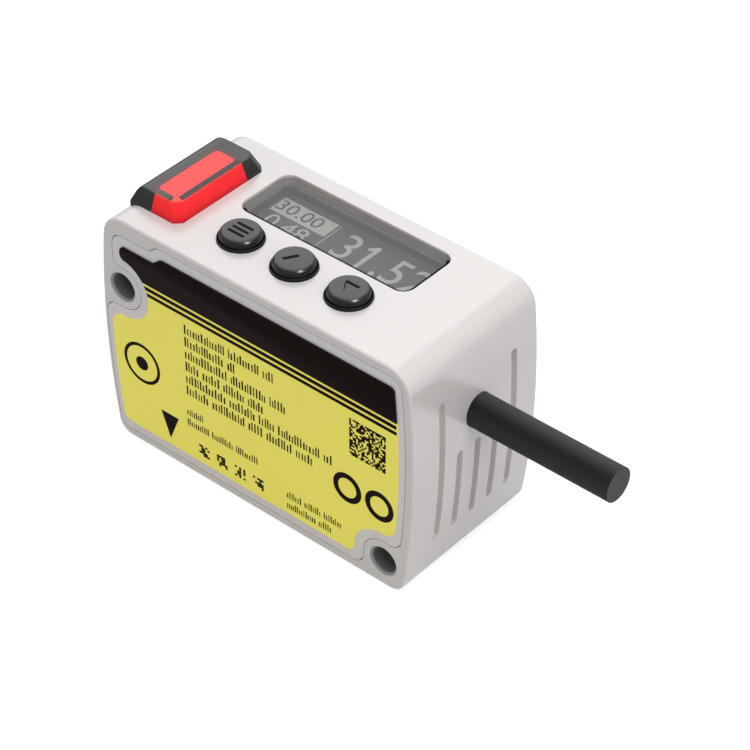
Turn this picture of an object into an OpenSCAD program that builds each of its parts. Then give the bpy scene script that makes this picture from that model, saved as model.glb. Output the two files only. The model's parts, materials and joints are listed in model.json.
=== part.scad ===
// Compact laser displacement sensor with a display, three buttons, a red
// status light and a side cable. Millimetres, +Z up, origin at the middle of
// the underside. X runs along the long side, with the cable at +X, and the
// printed side cover faces -Y.

/* [Housing] */
// Width across the widest part of the curved ends
body_w = 44; // [40:0.5:56]
// Height from the underside to the top face
body_h = 30; // [29:0.5:36]
// Depth from the rim of the side cover to the back face
body_d = 20.4; // [20:0.2:28]
// Thickness of the top, bottom and end walls
wall = 1.8; // [1.4:0.1:2.2]
// Thickness of the back wall
back_wall = 1.5; // [1.2:0.1:2]
// Radius of the slow outward curve of both ends
end_curve_r = 103; // [80:1:200]
// Height at which the ends are widest
end_curve_z = 17; // [12:0.5:20]
// Radius of the two long top edges at the ends
top_edge_r = 3; // [1.8:0.1:3.2]
// Radius of the two long bottom edges at the ends
bottom_edge_r = 1.8; // [1:0.1:3]

/* [Mounting holes] */
// Bore of the two through holes, a clearance fit for an M3 screw
hole_d = 3.2; // [3:0.1:3.6]
// Width of the chamfer at both mouths
hole_chamfer = 0.25; // [0.1:0.05:0.5]
// Distance of the upper hole from the left end
upper_hole_side = 3.1; // [2.8:0.1:4]
// Distance of the upper hole from the top face
upper_hole_top = 9; // [8.5:0.1:11]
// Distance of the lower hole from the right end
lower_hole_side = 3.9; // [3:0.1:4.5]
// Height of the lower hole above the underside
lower_hole_z = 3.3; // [3:0.1:4]
// Plastic left round each bore
boss_wall = 1.2; // [0.9:0.1:1.2]

/* [End grooves] */
// Width of each groove
groove_w = 0.95; // [0.6:0.05:1.4]
// Depth of each groove
groove_depth = 0.8; // [0.3:0.05:0.9]
// Spacing of the grooves
groove_pitch = 2.93; // [2:0.01:3.2]
// Height of the lower ends of the grooves
groove_low = 5.2; // [4:0.1:8]
// Height of the upper ends of the three middle grooves
groove_mid = 15.8; // [10:0.1:17]
// Height of the upper ends of the two outer grooves
groove_high = 23.9; // [18:0.1:25]
// Distance of the middle groove and the cable behind the body's middle plane
end_mid_y = 0.35; // [0:0.05:0.5]

/* [Side cover] */
// Thickness of the cover plate
cover_t = 1.5; // [1:0.1:2]
// Width of the housing's rim above and below the plate
cover_rim = 1.1; // [0.9:0.05:1.3]
// Width of the housing's rim beside the plate
cover_side_rim = 0.8; // [0.7:0.05:1]
// Distance that the plate lies left of the middle
cover_shift = 0.25; // [0:0.05:0.3]
// Gap round the plate
cover_gap = 0.08; // [0.03:0.01:0.15]
// Distance that the plate keeps from the axis of each mounting hole
cover_notch_r = 2.8; // [2.7:0.05:3.2]
// Least width of the ledge that carries the plate
ledge_w = 0.3; // [0.2:0.05:0.4]
// Thickness of the sealing bead under the plate
seal_t = 0.3; // [0.2:0.05:0.5]
// Thickness of the printed label
label_t = 0.15; // [0.1:0.05:0.3]
// Border of bare plate above and below the label
label_border = 1.2; // [0.6:0.05:1.3]
// Border of bare plate beside the label
label_side_border = 0.85; // [0.6:0.05:1.3]
// Distance that the label lies left of the plate's middle
label_shift = 0.05; // [0:0.05:0.4]

/* [Display] */
// Width of the window opening
window_w = 23.5; // [20:0.1:24]
// Corner radius of the window opening
window_r = 1.5; // [0.5:0.1:2.5]
// Middle of the window and of the row of buttons, from the middle of the body
face_mid_x = 0.6; // [0:0.1:1]
// Distance of the window's back edge from the back face
window_back = 2.1; // [2:0.1:3]
// Depth of the window pane below the top face
pane_sink = 0.3; // [0.1:0.05:0.5]
// Thickness of the window pane
pane_t = 1.1; // [0.8:0.05:1.3]
// Gap round the window pane
pane_gap = 0.05; // [0.03:0.01:0.1]
// Width of the lip that frames the picture
frame_lip = 0.4; // [0.2:0.05:0.6]
// Thickness of the lip that frames the picture
frame_lip_t = 0.6; // [0.4:0.05:0.8]
// Thickness of the display frame's walls
frame_wall = 0.45; // [0.35:0.05:0.5]
// Thickness of the display glass
glass_t = 1.4; // [1:0.1:1.5]

/* [Buttons] */
// Diameter of the button caps
cap_d = 4.7; // [3.8:0.1:4.8]
// Height of the caps above the top face
cap_rise = 1.15; // [1:0.05:1.6]
// Spacing of the buttons
button_pitch = 7.5; // [6.8:0.1:8]
// Distance of the buttons' row from the labelled side
button_front = 6.1; // [6:0.1:6.8]
// Thickness of the rubber ring round each cap
ring_t = 0.15; // [0.15:0.05:0.4]
// Height of the ring above the top face
ring_rise = 0.3; // [0.2:0.05:0.7]
// Running gap round each cap
cap_gap = 0.1; // [0.1:0.05:0.3]
// Travel of each button
button_travel = 0.3; // [0.2:0.05:0.4]
// Free play left at the end of the travel
button_slack = 0.05; // [0.05:0.05:0.1]

/* [Status light] */
// Length of the status light along the end of the top face
light_l = 13.9; // [11:0.1:15]
// Width of the status light across its foot
light_w = 7.2; // [6.6:0.1:7.4]
// Height of the status light above the top face
light_h = 2; // [1.4:0.1:2.6]
// Slope of the status light's two ends, from foot to top
light_end_slope = 0.85; // [0.4:0.05:1.2]
// Slope of its inner side, from foot to top
light_side_slope = 0.9; // [0.6:0.1:1.5]
// Radius of its long outer edge at the top
light_round = 1.3; // [0.6:0.1:1.3]
// Bevel of the two corners at its inner side
light_bevel = 0.8; // [0.4:0.05:1]
// Distance of its foot's inner edge from the middle of the body
light_edge = 13.3; // [13.3:0.1:13.5]

/* [Cable] */
// Diameter of the cable
cable_d = 4; // [3.5:0.1:4.5]
// Length of the cable outside the end wall
cable_out = 18; // [10:0.5:40]
// Distance of the cable's axis below the top face
cable_drop = 10.4; // [10:0.1:10.8]
// Number of cores in the cable
core_count = 6; // [4:1:6]
// Diameter of each core
core_d = 0.9; // [0.7:0.05:1]
// Gap round the cable in its hole
cable_gap = 0.03; // [0.02:0.01:0.08]

/* [Optics] */
// Distance of the laser beam from the middle of the body
laser_x = 13; // [12.6:0.1:13.2]
// Distance of the receiving lens from the middle of the body
lens_x = 6.5; // [6.4:0.1:6.8]
// Distance from the underside to the middle of the measuring range
measure_dist = 50; // [40:1:80]
// Diameter of the receiving lens
lens_d = 7.4; // [6.6:0.1:7.6]
// Distance from the receiving lens to the image sensor
focus_len = 8.5; // [8:0.1:9]
// Outer diameter of the laser barrel
barrel_d = 6.4; // [6:0.1:6.8]
// Length of the laser barrel
barrel_l = 9.5; // [9:0.1:11]
// Thickness of the protective glass in the underside
optic_glass_t = 0.9; // [0.6:0.1:1]
// Depth of the protective glass below the underside
optic_glass_sink = 0.3; // [0.2:0.05:0.4]

/* [Circuit boards] */
// Thickness of the boards
board_t = 1; // [0.8:0.1:1.1]
// Gap between the display board and the ceiling of the housing
board_room = 3.2; // [3.1:0.05:3.2]
// Diameter of the thread of the small screws
screw_d = 1.4; // [1.2:0.1:1.6]

/* [Hidden] */
$fn = 64;
// Overshoot of a cut past a face
cut = 1;

// Planes of the housing
front_y = -body_d / 2;
back_y = body_d / 2;
ceiling_z = body_h - wall;
inside_y = back_y - back_wall;
plate_y = front_y + cover_t;
ledge_y = plate_y + seal_t;

// Mounting holes, as [x, z]
upper_hole = [upper_hole_side - body_w / 2, body_h - upper_hole_top];
lower_hole = [body_w / 2 - lower_hole_side, lower_hole_z];
boss_r = hole_d / 2 + boss_wall;

// Side cover: its tongue above the upper hole and the step in its top edge
tongue_x = upper_hole[0] - 1.2;
tongue_drop = 1;
step_x = upper_hole[0] + 4.9;
step_run = 0.6;
corner_r = 1;
plate_corner_r = top_edge_r - 1.2;
step_corner_r = 0.8;
flare_r = 1.5;

// Buttons, each kept in by a flange below the ceiling
button_x = [for (i = [-1:1]) face_mid_x + i * button_pitch];
button_y = front_y + button_front;
button_hole_r = cap_d / 2 + cap_gap + ring_t;
flange_r = button_hole_r + 0.4;
flange_top = ceiling_z - cap_gap;
flange_t = 0.6;
flange_room = 0.45;
stem_r = 0.9;
cap_edge_r = 0.2;
cap_slope = 0.12;

// Display, from the ceiling down to its board; the window fills the room behind the buttons
window_d = body_d - window_back - button_front - flange_r - flange_room - frame_wall;
window_box = [face_mid_x - window_w / 2, face_mid_x + window_w / 2, back_y - window_back - window_d,
    back_y - window_back];
glass_z = ceiling_z - frame_lip_t;
pane_z = max(body_h - pane_sink - pane_t, ceiling_z);
collar_t = 0.35;
board_top = ceiling_z - board_room;
board_z = board_top - board_t;

// Switches under the buttons
switch_h = 1.2;
plunger_h = 0.3;
stem_z = board_top + switch_h + plunger_h + button_travel + button_slack;

// Status light: outer box, seat, and the lit panel on its top with the widths of the dark top round it.
// The seat reaches below the housing's rounded edge where the light runs out over it.
light_seat = max(0.6, body_h - edge_level(light_edge + light_w) - 0.05);
light_x = [-light_edge - light_w, -light_edge];
light_y = [-light_l / 2, light_l / 2];
light_lean = 0.4;
light_outer_r = 0.3;
light_z = [body_h - light_seat, body_h + light_h];
outer_bar = 1;
inner_bar = 0.8;
front_bar = 0.9;
back_bar = 2.15;
panel_x = [light_x[0] + light_lean + light_round + outer_bar, light_x[1] - light_side_slope - inner_bar];
panel_y = [light_y[0] + light_end_slope + front_bar, light_y[1] - light_end_slope - back_bar];
panel_t = 0.8;
bar_t = 0.4;
slope_strip = 0.05;
split_x = panel_x[0] + 0.5;
panel_r = 0.5;
guide_x = [split_x + 0.2, split_x + 2.2];
guide_y = [-3, 3];
guide_gap = 0.1;
led_h = 0.6;

// Cable, its socket in the end wall and the connector
cable_z = body_h - cable_drop;
cable_r = cable_d / 2 + cable_gap;
socket_x = body_w / 2 - 4.8;
socket_r = cable_r + 1.87;
bush_r = cable_r + 0.97;
bush_l = 2.6;
ferrule_l = 1.6;
ferrule_r = cable_r + 0.6;
jacket_x = [socket_x - ferrule_l - 0.6, end_x(cable_z) + cable_out];
core_l = 2.1;
core_ring_r = cable_d / 2 - core_d / 2 - 0.25;
plug_x = [jacket_x[0] - core_l - 2.9, jacket_x[0] - core_l];
plug_half = 2.4;

// Optics
block_x = [-laser_x - 4.2, lower_hole[0] - boss_r - 0.7];
block_y = [ledge_y + 2.2, inside_y - 2.9];
tower_w = 8.4;
tower_x = -laser_x + tower_w / 2;
lens_z = wall + 3.7;
lens_t = 2.6;
lens_r = 9.5;
lens_step = 0.8;
ring_l = 1;
ring_wall = 0.4;
lens_turn = atan((lens_x + laser_x) / (measure_dist + lens_z));
lens_axis = [sin(lens_turn), cos(lens_turn)];
lens_side = [cos(lens_turn), -sin(lens_turn)];
sensor_at = [lens_x, lens_z] + focus_len * lens_axis;
sensor_half = 4.6;
sensor_board_t = 0.8;
sensor_inset = 0.2;
chip_l = 4.4;
chip_w = 3;
chip_t = 1;
sensor_top = sensor_at[1] + sensor_half * lens_axis[0] + sensor_board_t * lens_axis[1];
beam_r = 2;
barrel_z = wall + 3.7;
barrel_top = barrel_z + barrel_l;
tower_z = barrel_top + 1;
barrel_bore_r = 2.3;
barrel_gap = 0.03;
barrel_step = 0.6;
collimator_t = 1.6;
collimator_r = 4;
diode_r = 2.8;
diode_flange_t = 1.2;
diode_can_r = 1.8;
diode_can_l = 2.2;
pin_r = 0.22;
pin_l = 4;
pin_ring_r = 1;
laser_glass_r = 3.2;
lens_glass = [lens_x - 5.4, lens_x + 3.4, -lens_d / 2 - 1, lens_d / 2 + 1];
optic_pocket = optic_glass_sink + optic_glass_t;

// Boards and the posts that carry them, the upper ones as [x, y], the back ones as [x, z]
main_y = [block_y[1], block_y[1] + board_t];
main_x = [upper_hole[0] + boss_r + 0.3, lower_hole[0] - boss_r - 0.3];
main_z = [wall + 0.8, board_z - 1.2];
display_x = [-end_x(board_top, wall) + 0.6, end_x(board_top, wall) - 2.4];
display_y = [ledge_y + 0.4, inside_y - 0.2];
ceiling_posts = [[window_box[0] - 2.2, -5.6], [window_box[0] - 2.2, 6.2], [window_box[1] + 3.2, 1]];
board_posts = [[main_x[0] + 3.8, main_z[1] - 2.4], [plug_x[0] - 2.4, main_z[1] - 2.4]];
block_posts = [[-5.6, wall + 2.8], [block_x[1] - 1.8, wall + 2.8]];
post_r = 1.4;
plug_h = 2.6;
chip_z = [sensor_top + 0.6, board_z - plug_h - 0.2];

// Parts on the boards
switch_l = 3.6;
plunger_r = 0.8;
led_l = 1.6;
led_w = 1;
led_y = 1.6;
link_x = [-3, 5];
link_d = 1.5;
processor_x = tower_x + 0.2;
processor_l = 5;
processor_t = 0.8;
coil_x = 1.5;
coil_h = 2.4;

// Screws
screw_head_r = screw_d / 2 + 0.55;
screw_head_h = 0.8;
screw_bite = 1.3;
head_gap = 0.05;
block_head_y = block_y[1] - 2;

// Points of an arc about c, of radius r, from angle a0 to a1; skip leaves out that many at each end
function arc(c, r, a0, a1, n = 8, skip = 0) =
    [for (i = [skip:n - skip]) let (a = a0 + (a1 - a0) * i / n) c + r * [cos(a), sin(a)]];

function unit(v) = v / norm(v);
function angle(v) = atan2(v[1], v[0]);
function short_turn(a) = a > 180 ? a - 360 : a < -180 ? a + 360 : a;

// The corner at b between its neighbours a and c, rounded with the radius that is its third value
function corner(a, b, c) =
    let (q = [b[0], b[1]], u = unit([a[0], a[1]] - q), v = unit([c[0], c[1]] - q), r = b[2])
    r == 0 ? [q] :
    let (half = acos(u * v) / 2, m = q + unit(u + v) * r / sin(half), t = r / tan(half),
        a0 = angle(q + u * t - m))
    arc(m, r, a0, a0 + short_turn(angle(q + v * t - m) - a0), 6);

// An outline of corners [x, y, radius]
function rounded(p) =
    let (n = len(p)) [for (i = [0:n - 1]) each corner(p[(i + n - 1) % n], p[i], p[(i + 1) % n])];

// A box [x0, x1, y0, y1] grown by g on each side, with corners of radius r
function round_box(b, g, r) =
    rounded([[b[0] - g, b[2] - g, r], [b[1] + g, b[2] - g, r],
        [b[1] + g, b[3] + g, r], [b[0] - g, b[3] + g, r]]);

// Half width of the curved ends at height z, set in by d
function end_x(z, d = 0) =
    body_w / 2 - end_curve_r + sqrt(pow(end_curve_r - d, 2) - pow(z - end_curve_z, 2));

// Height of the housing's surface at a distance x from the middle, over its rounded top edge
function edge_level(x) =
    let (z = body_h - top_edge_r,
        middle = body_w / 2 - end_curve_r + sqrt(pow(end_curve_r - top_edge_r, 2) - pow(z - end_curve_z, 2)))
    z + sqrt(pow(top_edge_r, 2) - pow(min(max(x - middle, 0), top_edge_r), 2));

// Half of the housing's outline, from the underside to the top, set in by d
function half_outline(d) =
    let (cx = body_w / 2 - end_curve_r, s = end_curve_r - d,
        rt = max(top_edge_r - d, 0.3), rb = max(bottom_edge_r - d, 0.3),
        zt = body_h - d - rt, zb = d + rb,
        xt = cx + sqrt(pow(s - rt, 2) - pow(zt - end_curve_z, 2)),
        xb = cx + sqrt(pow(s - rb, 2) - pow(zb - end_curve_z, 2)),
        at = atan2(zt - end_curve_z, xt - cx), ab = atan2(zb - end_curve_z, xb - cx))
    concat(arc([xb, zb], rb, -90, ab), arc([cx, end_curve_z], s, ab, at, 20, 1), arc([xt, zt], rt, at, 90));

function outline(d) =
    let (h = half_outline(d)) concat(h, [for (i = [len(h) - 1:-1:0]) [-h[i][0], h[i][1]]]);

// Points of one curved side of the plate between two heights, on the side given by sign
function plate_side(sign, d, z0, z1, n = 8) =
    [for (i = [0:n]) let (z = z0 + (z1 - z0) * i / n) [sign * end_x(z, d) - cover_shift, z, 0]];

function flat_corner(p) = [for (q = p) [q[0], q[1], 0]];

// A radius that still fits beside a stretch of the given length
function fit_r(r, room) = min(r, 0.9 * room);

// Outline of the side cover grown by g, and by side_g at its curved sides: a notch round each
// mounting hole, and a tongue that runs out above the upper hole
function cover_outline(g, side_g) =
    let (sg = is_undef(side_g) ? g : side_g, rim = cover_rim - g, side = cover_side_rim - sg,
        n = cover_notch_r - g, u = upper_hole, l = lower_hole,
        top = body_h - rim, low = rim, tongue_z = top - tongue_drop, tongue_h = tongue_z - u[1] - n,
        s = step_x - g / 2, ease = 2.2,
        right_x = end_x(l[1] + n, side) - cover_shift, left_x = -end_x(u[1] - n, side) - cover_shift)
    rounded(concat(
        [[s + step_run, top, step_corner_r],
            [end_x(top, side) - cover_shift, top, max(plate_corner_r + g, 0.5)]],
        plate_side(1, side, top - ease, l[1] + n + ease),
        [[right_x, l[1] + n, fit_r(flare_r, right_x - l[0])]],
        flat_corner(arc(l, n, 90, 180, 10)),
        [[l[0] - n, low, fit_r(flare_r, l[1] - low)], [-end_x(low, side) - cover_shift, low, corner_r]],
        plate_side(-1, side, low + ease, u[1] - n - ease),
        [[left_x, u[1] - n, fit_r(flare_r, u[0] - left_x)]],
        flat_corner(arc(u, n, -90, 75, 16)),
        [[tongue_x - g, u[1] + n, fit_r(corner_r, tongue_h / 2)],
        [tongue_x - g, tongue_z, fit_r(flare_r, tongue_h / 2)],
        [s - step_run, tongue_z, step_corner_r]]));

// Extrusions of a flat shape between two planes; the shape is drawn in the other two axes
module along_x(x0, x1) {
    translate([x0, 0, 0]) rotate([90, 0, 90]) linear_extrude(x1 - x0) children();
}

module along_y(y0, y1) {
    translate([0, y1, 0]) rotate([90, 0, 0]) linear_extrude(y1 - y0) children();
}

module along_z(z0, z1) {
    translate([0, 0, z0]) linear_extrude(z1 - z0) children();
}

module block(x, y, z) {
    translate([x[0], y[0], z[0]]) cube([x[1] - x[0], y[1] - y[0], z[1] - z[0]]);
}

// Placed along the receiving lens's tilted axis, with its origin on the lens's middle
module on_lens_axis() {
    translate([lens_x, 0, lens_z]) rotate([0, lens_turn, 0]) children();
}

// The inside of the housing, seen from the side cover
module cavity_shape() {
    difference() {
        polygon(outline(wall));
        translate(upper_hole) circle(boss_r);
        translate(lower_hole) circle(boss_r);
    }
}

// The way in past the ledge
module mouth_shape() {
    intersection() {
        cavity_shape();
        polygon(cover_outline(-ledge_w));
    }
}

// A through hole with a chamfer at both faces
module mounting_bore(at) {
    translate([at[0], back_y + cut, at[1]]) rotate([90, 0, 0]) cylinder(h = body_d + 2 * cut, d = hole_d);
    for (side = [-1, 1])
        translate([at[0], side * (back_y + hole_chamfer / 2), at[1]]) rotate([-90 * side, 0, 0])
            translate([0, 0, -1.5 * hole_chamfer])
                cylinder(h = 1.5 * hole_chamfer, d1 = hole_d, d2 = hole_d + 3 * hole_chamfer);
}

// Upright grooves sunk to one depth below the curved end wall
module end_grooves() {
    difference() {
        for (i = [-2:2])
            let (y = end_mid_y + i * groove_pitch, top = abs(i) == 2 ? groove_high : groove_mid)
            along_x(body_w / 2 - 3, body_w / 2 + cut) {
                translate([y, groove_low + groove_w / 2]) circle(d = groove_w);
                translate([y - groove_w / 2, groove_low + groove_w / 2])
                    square([groove_w, top - groove_low - groove_w]);
                translate([y, top - groove_w / 2]) circle(d = groove_w);
            }
        along_y(front_y - cut, back_y + cut) polygon(outline(groove_depth));
    }
}

module ceiling_post(at) {
    translate([at[0], at[1], board_top]) cylinder(h = board_room + wall / 2, r = post_r);
}

module back_post(at) {
    along_y(main_y[1], inside_y + back_wall / 2) translate(at) circle(post_r);
}

// Tapped holes of the posts
module post_holes() {
    for (at = ceiling_posts)
        translate([at[0], at[1], board_top - cut]) cylinder(h = screw_bite + 0.4 + cut, d = screw_d);
    for (at = concat(board_posts, block_posts))
        along_y(main_y[1] - cut, main_y[1] + screw_bite + 0.2) translate(at) circle(d = screw_d);
}

// The light paths through the bottom wall, and the pockets of the two windows
module optic_openings() {
    translate([-laser_x, 0, 0]) cylinder(h = wall + cut, r = beam_r);
    translate([-laser_x, 0, -cut]) cylinder(h = cut + optic_pocket, r = laser_glass_r);
    along_z(-cut, optic_pocket) polygon(round_box(lens_glass, 0, 0.6));
    intersection() {
        on_lens_axis() translate([0, 0, -lens_z - lens_d])
            cylinder(h = lens_z + lens_d, r = lens_d / 2 - 0.2);
        block([lens_x - lens_d, lens_x + lens_d], [-lens_d, lens_d], [0, wall + cut]);
    }
}

module housing() {
    color("white") difference() {
        union() {
            difference() {
                along_y(front_y, back_y) polygon(outline(0));
                along_y(front_y - cut, plate_y + seal_t) polygon(cover_outline(cover_gap));
                along_y(front_y - cut, ledge_y + cut) mouth_shape();
                along_y(ledge_y + cut / 2, inside_y) cavity_shape();
            }
            along_x(socket_x, body_w / 2 - wall / 2) translate([end_mid_y, cable_z]) circle(socket_r);
            for (at = ceiling_posts) ceiling_post(at);
            for (at = concat(board_posts, block_posts)) back_post(at);
        }
        mounting_bore(upper_hole);
        mounting_bore(lower_hole);
        end_grooves();
        post_holes();
        along_x(socket_x - cut, body_w / 2 + cut) translate([end_mid_y, cable_z]) circle(cable_r);
        along_x(socket_x - cut, socket_x + bush_l) translate([end_mid_y, cable_z]) circle(bush_r);
        along_z(ceiling_z - cut, body_h + cut) polygon(round_box(window_box, 0, window_r));
        for (x = button_x)
            translate([x, button_y, ceiling_z - cut]) cylinder(h = wall + 2 * cut, r = button_hole_r);
        along_z(light_z[0], body_h + cut) light_plan();
        block([guide_x[0] - guide_gap, guide_x[1] + guide_gap],
            [guide_y[0] - guide_gap, guide_y[1] + guide_gap], [ceiling_z - cut, body_h]);
        optic_openings();
    }
}

module side_cover() {
    color("gainsboro") along_y(front_y, plate_y) polygon(cover_outline(0));
}

module cover_seal() {
    color("dimgray") along_y(plate_y, ledge_y) difference() {
        polygon(cover_outline(0));
        mouth_shape();
    }
}

module label() {
    color("khaki") along_y(front_y - label_t, front_y)
        translate([-label_shift, 0]) polygon(cover_outline(-label_border, -label_side_border));
}

// The status light's outline in plan, drawn in at each side: its two inner corners are bevelled
module light_plan(outer = 0, inner = 0, ends = 0) {
    x = [light_x[0] + outer, light_x[1] - inner];
    y = [light_y[0] + ends, light_y[1] - ends];
    polygon(rounded([[x[0], y[0], light_outer_r], [x[1] - light_bevel, y[0], 0],
        [x[1], y[0] + light_bevel, 0], [x[1], y[1] - light_bevel, 0],
        [x[1] - light_bevel, y[1], 0], [x[0], y[1], light_outer_r]]));
}

// Outer form of the status light: a straight seat, then sloped sides under a top that is rounded
// towards the end of the body
module light_form() {
    thin = 0.01;
    along_z(light_z[0], body_h) light_plan();
    hull() {
        along_z(body_h - thin, body_h) light_plan();
        for (a = [0:22.5:90]) {
            rise = light_h - light_round * (1 - sin(a));
            part = rise / light_h;
            along_z(body_h + rise - thin, body_h + rise)
                light_plan(light_lean + light_round * (1 - cos(a)),
                    light_side_slope * part, light_end_slope * part);
        }
    }
}

// The clear red part of it: the inner and front slopes below a dark top, and a panel let into that top
module light_clear_zone() {
    top = light_z[1];
    skin = top - bar_t;
    below = skin - bar_t / 2;
    front = light_y[0] - cut;
    side = light_x[1] + cut;
    block([split_x, side], [front, panel_y[1]], [light_z[0] - cut, skin]);
    block([light_x[1] - light_side_slope - slope_strip, side], [front, panel_y[1]], [below, top + cut]);
    block([split_x, side], [front, light_y[0] + light_end_slope + slope_strip], [below, top + cut]);
    block([panel_x[1] - panel_r, side], [front, panel_y[0] + panel_r], [below, top + cut]);
    along_z(top - panel_t, top + cut)
        polygon(round_box([panel_x[0], panel_x[1], panel_y[0], panel_y[1]], 0, panel_r));
}

module indicator_frame() {
    color("dimgray") difference() {
        light_form();
        light_clear_zone();
    }
}

module indicator_lens() {
    color("tomato") {
        intersection() {
            light_form();
            light_clear_zone();
        }
        block(guide_x, guide_y, [board_top + led_h + 0.3, light_z[0]]);
    }
}

module indicator_leds() {
    x = (guide_x[0] + guide_x[1] - led_l) / 2;
    color("ivory") for (side = [-1, 1])
        translate([x, side * led_y - led_w / 2, board_top]) cube([led_l, led_w, led_h]);
}

module display_window() {
    color("silver", 0.5) along_z(pane_z, body_h - pane_sink)
        polygon(round_box(window_box, -pane_gap, window_r - pane_gap));
}

module display_frame() {
    color("gray") difference() {
        union() {
            along_z(board_top, ceiling_z) polygon(round_box(window_box, frame_wall, window_r));
            along_z(ceiling_z - cut / 2, pane_z)
                polygon(round_box(window_box, -pane_gap, window_r - pane_gap));
        }
        along_z(board_top - cut, glass_z) polygon(round_box(window_box, 0, 0.5));
        along_z(glass_z - cut, ceiling_z + cut)
            polygon(round_box(window_box, -frame_lip, window_r - frame_lip));
        along_z(ceiling_z, pane_z + cut) polygon(round_box(window_box, -collar_t, window_r - collar_t));
    }
}

module display_glass() {
    color("darkslategray") along_z(glass_z - glass_t, glass_z) polygon(round_box(window_box, -pane_gap, 0.5));
}

module display_backlight() {
    color("whitesmoke") along_z(board_top, glass_z - glass_t) polygon(round_box(window_box, -pane_gap, 0.5));
}

module display_board() {
    color("seagreen") difference() {
        block(display_x, display_y, [board_z, board_top]);
        for (at = ceiling_posts)
            translate([at[0], at[1], board_z - cut]) cylinder(h = board_t + 2 * cut, d = screw_d + 0.2);
    }
}

module button_seals() {
    color("black") for (x = button_x) translate([x, button_y, ceiling_z]) difference() {
        cylinder(h = wall + ring_rise, r = button_hole_r);
        translate([0, 0, -cut]) cylinder(h = wall + ring_rise + 2 * cut, r = button_hole_r - ring_t);
    }
}

// One cap, turned about its own axis: stem, flange that keeps it in, and head with a soft edge
module button_cap(i) {
    r = cap_d / 2;
    top = body_h + cap_rise;
    profile = concat([[0, stem_z], [stem_r, stem_z], [stem_r, flange_top - flange_t],
        [flange_r, flange_top - flange_t], [flange_r, flange_top], [r, flange_top],
        [r, body_h + ring_rise]],
        arc([r - cap_slope - cap_edge_r, top - cap_edge_r], cap_edge_r, 0, 90, 5), [[0, top]]);
    color("dimgray") translate([button_x[i], button_y, 0]) rotate_extrude() polygon(profile);
}

module button_mode() {
    button_cap(0);
}

module button_up() {
    button_cap(1);
}

module button_down() {
    button_cap(2);
}

module tact_switches() {
    color("silver") for (x = button_x) translate([x, button_y, board_top]) {
        translate([-switch_l / 2, -switch_l / 2, 0]) cube([switch_l, switch_l, switch_h]);
        translate([0, 0, switch_h / 2]) cylinder(h = switch_h / 2 + plunger_h, r = plunger_r);
    }
}

// Joins the two boards at the top edge of the upright one
module board_connector() {
    color("black") block(link_x, [main_y[0] - link_d, main_y[0]], [board_z - plug_h, board_z]);
}

module main_board() {
    color("seagreen") difference() {
        block(main_x, main_y, main_z);
        for (at = concat(board_posts, block_posts))
            along_y(main_y[0] - cut, main_y[1] + cut) translate(at) circle(d = screw_d + 0.2);
    }
}

module processor() {
    color("black")
        block([processor_x, processor_x + processor_l], [main_y[0] - processor_t, main_y[0]], chip_z);
}

module power_coil() {
    r = (chip_z[1] - chip_z[0]) / 2;
    color("dimgray") translate([coil_x, main_y[0], chip_z[0] + r])
        rotate([90, 0, 0]) cylinder(h = coil_h, r = r);
}

// Carries the laser barrel upright, and the lens and image sensor on their tilted axis
module optics_block() {
    face = [sensor_at - sensor_half * lens_side, sensor_at + sensor_half * lens_side];
    color("dimgray") difference() {
        along_y(block_y[0], block_y[1])
            polygon([[block_x[0], wall], [block_x[1], wall], [block_x[1], face[1][1]],
                face[1], face[0], [tower_x, face[0][1]], [tower_x, tower_z], [block_x[0], tower_z]]);
        translate([-laser_x, 0, 0]) cylinder(h = tower_z, r = beam_r);
        translate([-laser_x, 0, barrel_z]) cylinder(h = tower_z, r = barrel_d / 2 + barrel_gap);
        on_lens_axis() translate([0, 0, -lens_z]) cylinder(h = lens_z + lens_t / 2, r = lens_d / 2);
        on_lens_axis() cylinder(h = focus_len + cut, r = lens_d / 2 - lens_step);
        for (at = block_posts) {
            along_y(block_y[0] - cut, block_y[1] + cut) translate(at) circle(d = screw_d + 0.2);
            along_y(block_y[0] - cut, block_head_y) translate(at) circle(screw_head_r + 0.1);
        }
    }
}

// Stands on the step of its bore, with the lens on a step at its foot and the diode in its head
module laser_barrel() {
    seat = barrel_top - diode_flange_t;
    head_r = diode_r + barrel_gap;
    color("goldenrod") translate([-laser_x, 0, 0]) rotate_extrude() polygon([[beam_r, barrel_z],
        [barrel_d / 2, barrel_z], [barrel_d / 2, barrel_top], [head_r, barrel_top], [head_r, seat],
        [barrel_bore_r, seat], [barrel_bore_r, barrel_z + barrel_step], [beam_r, barrel_z + barrel_step]]);
}

module collimator_lens() {
    color("lightblue") translate([-laser_x, 0, barrel_z + barrel_step]) intersection() {
        cylinder(h = collimator_t, r = barrel_bore_r);
        translate([0, 0, collimator_t - collimator_r]) sphere(collimator_r);
    }
}

module laser_diode() {
    color("gold") translate([-laser_x, 0, barrel_top - diode_flange_t]) {
        translate([0, 0, -diode_can_l]) cylinder(h = diode_can_l + diode_flange_t / 2, r = diode_can_r);
        cylinder(h = diode_flange_t, r = diode_r);
        for (a = [0:120:240])
            rotate([0, 0, a]) translate([pin_ring_r, 0, diode_flange_t / 2]) cylinder(h = pin_l, r = pin_r);
    }
}

module receiver_lens() {
    color("lightblue") on_lens_axis() intersection() {
        translate([0, 0, -lens_t / 2]) cylinder(h = lens_t, r = lens_d / 2);
        translate([0, 0, lens_r - lens_t / 2]) sphere(lens_r);
        translate([0, 0, lens_t / 2 - lens_r]) sphere(lens_r);
    }
}

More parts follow.
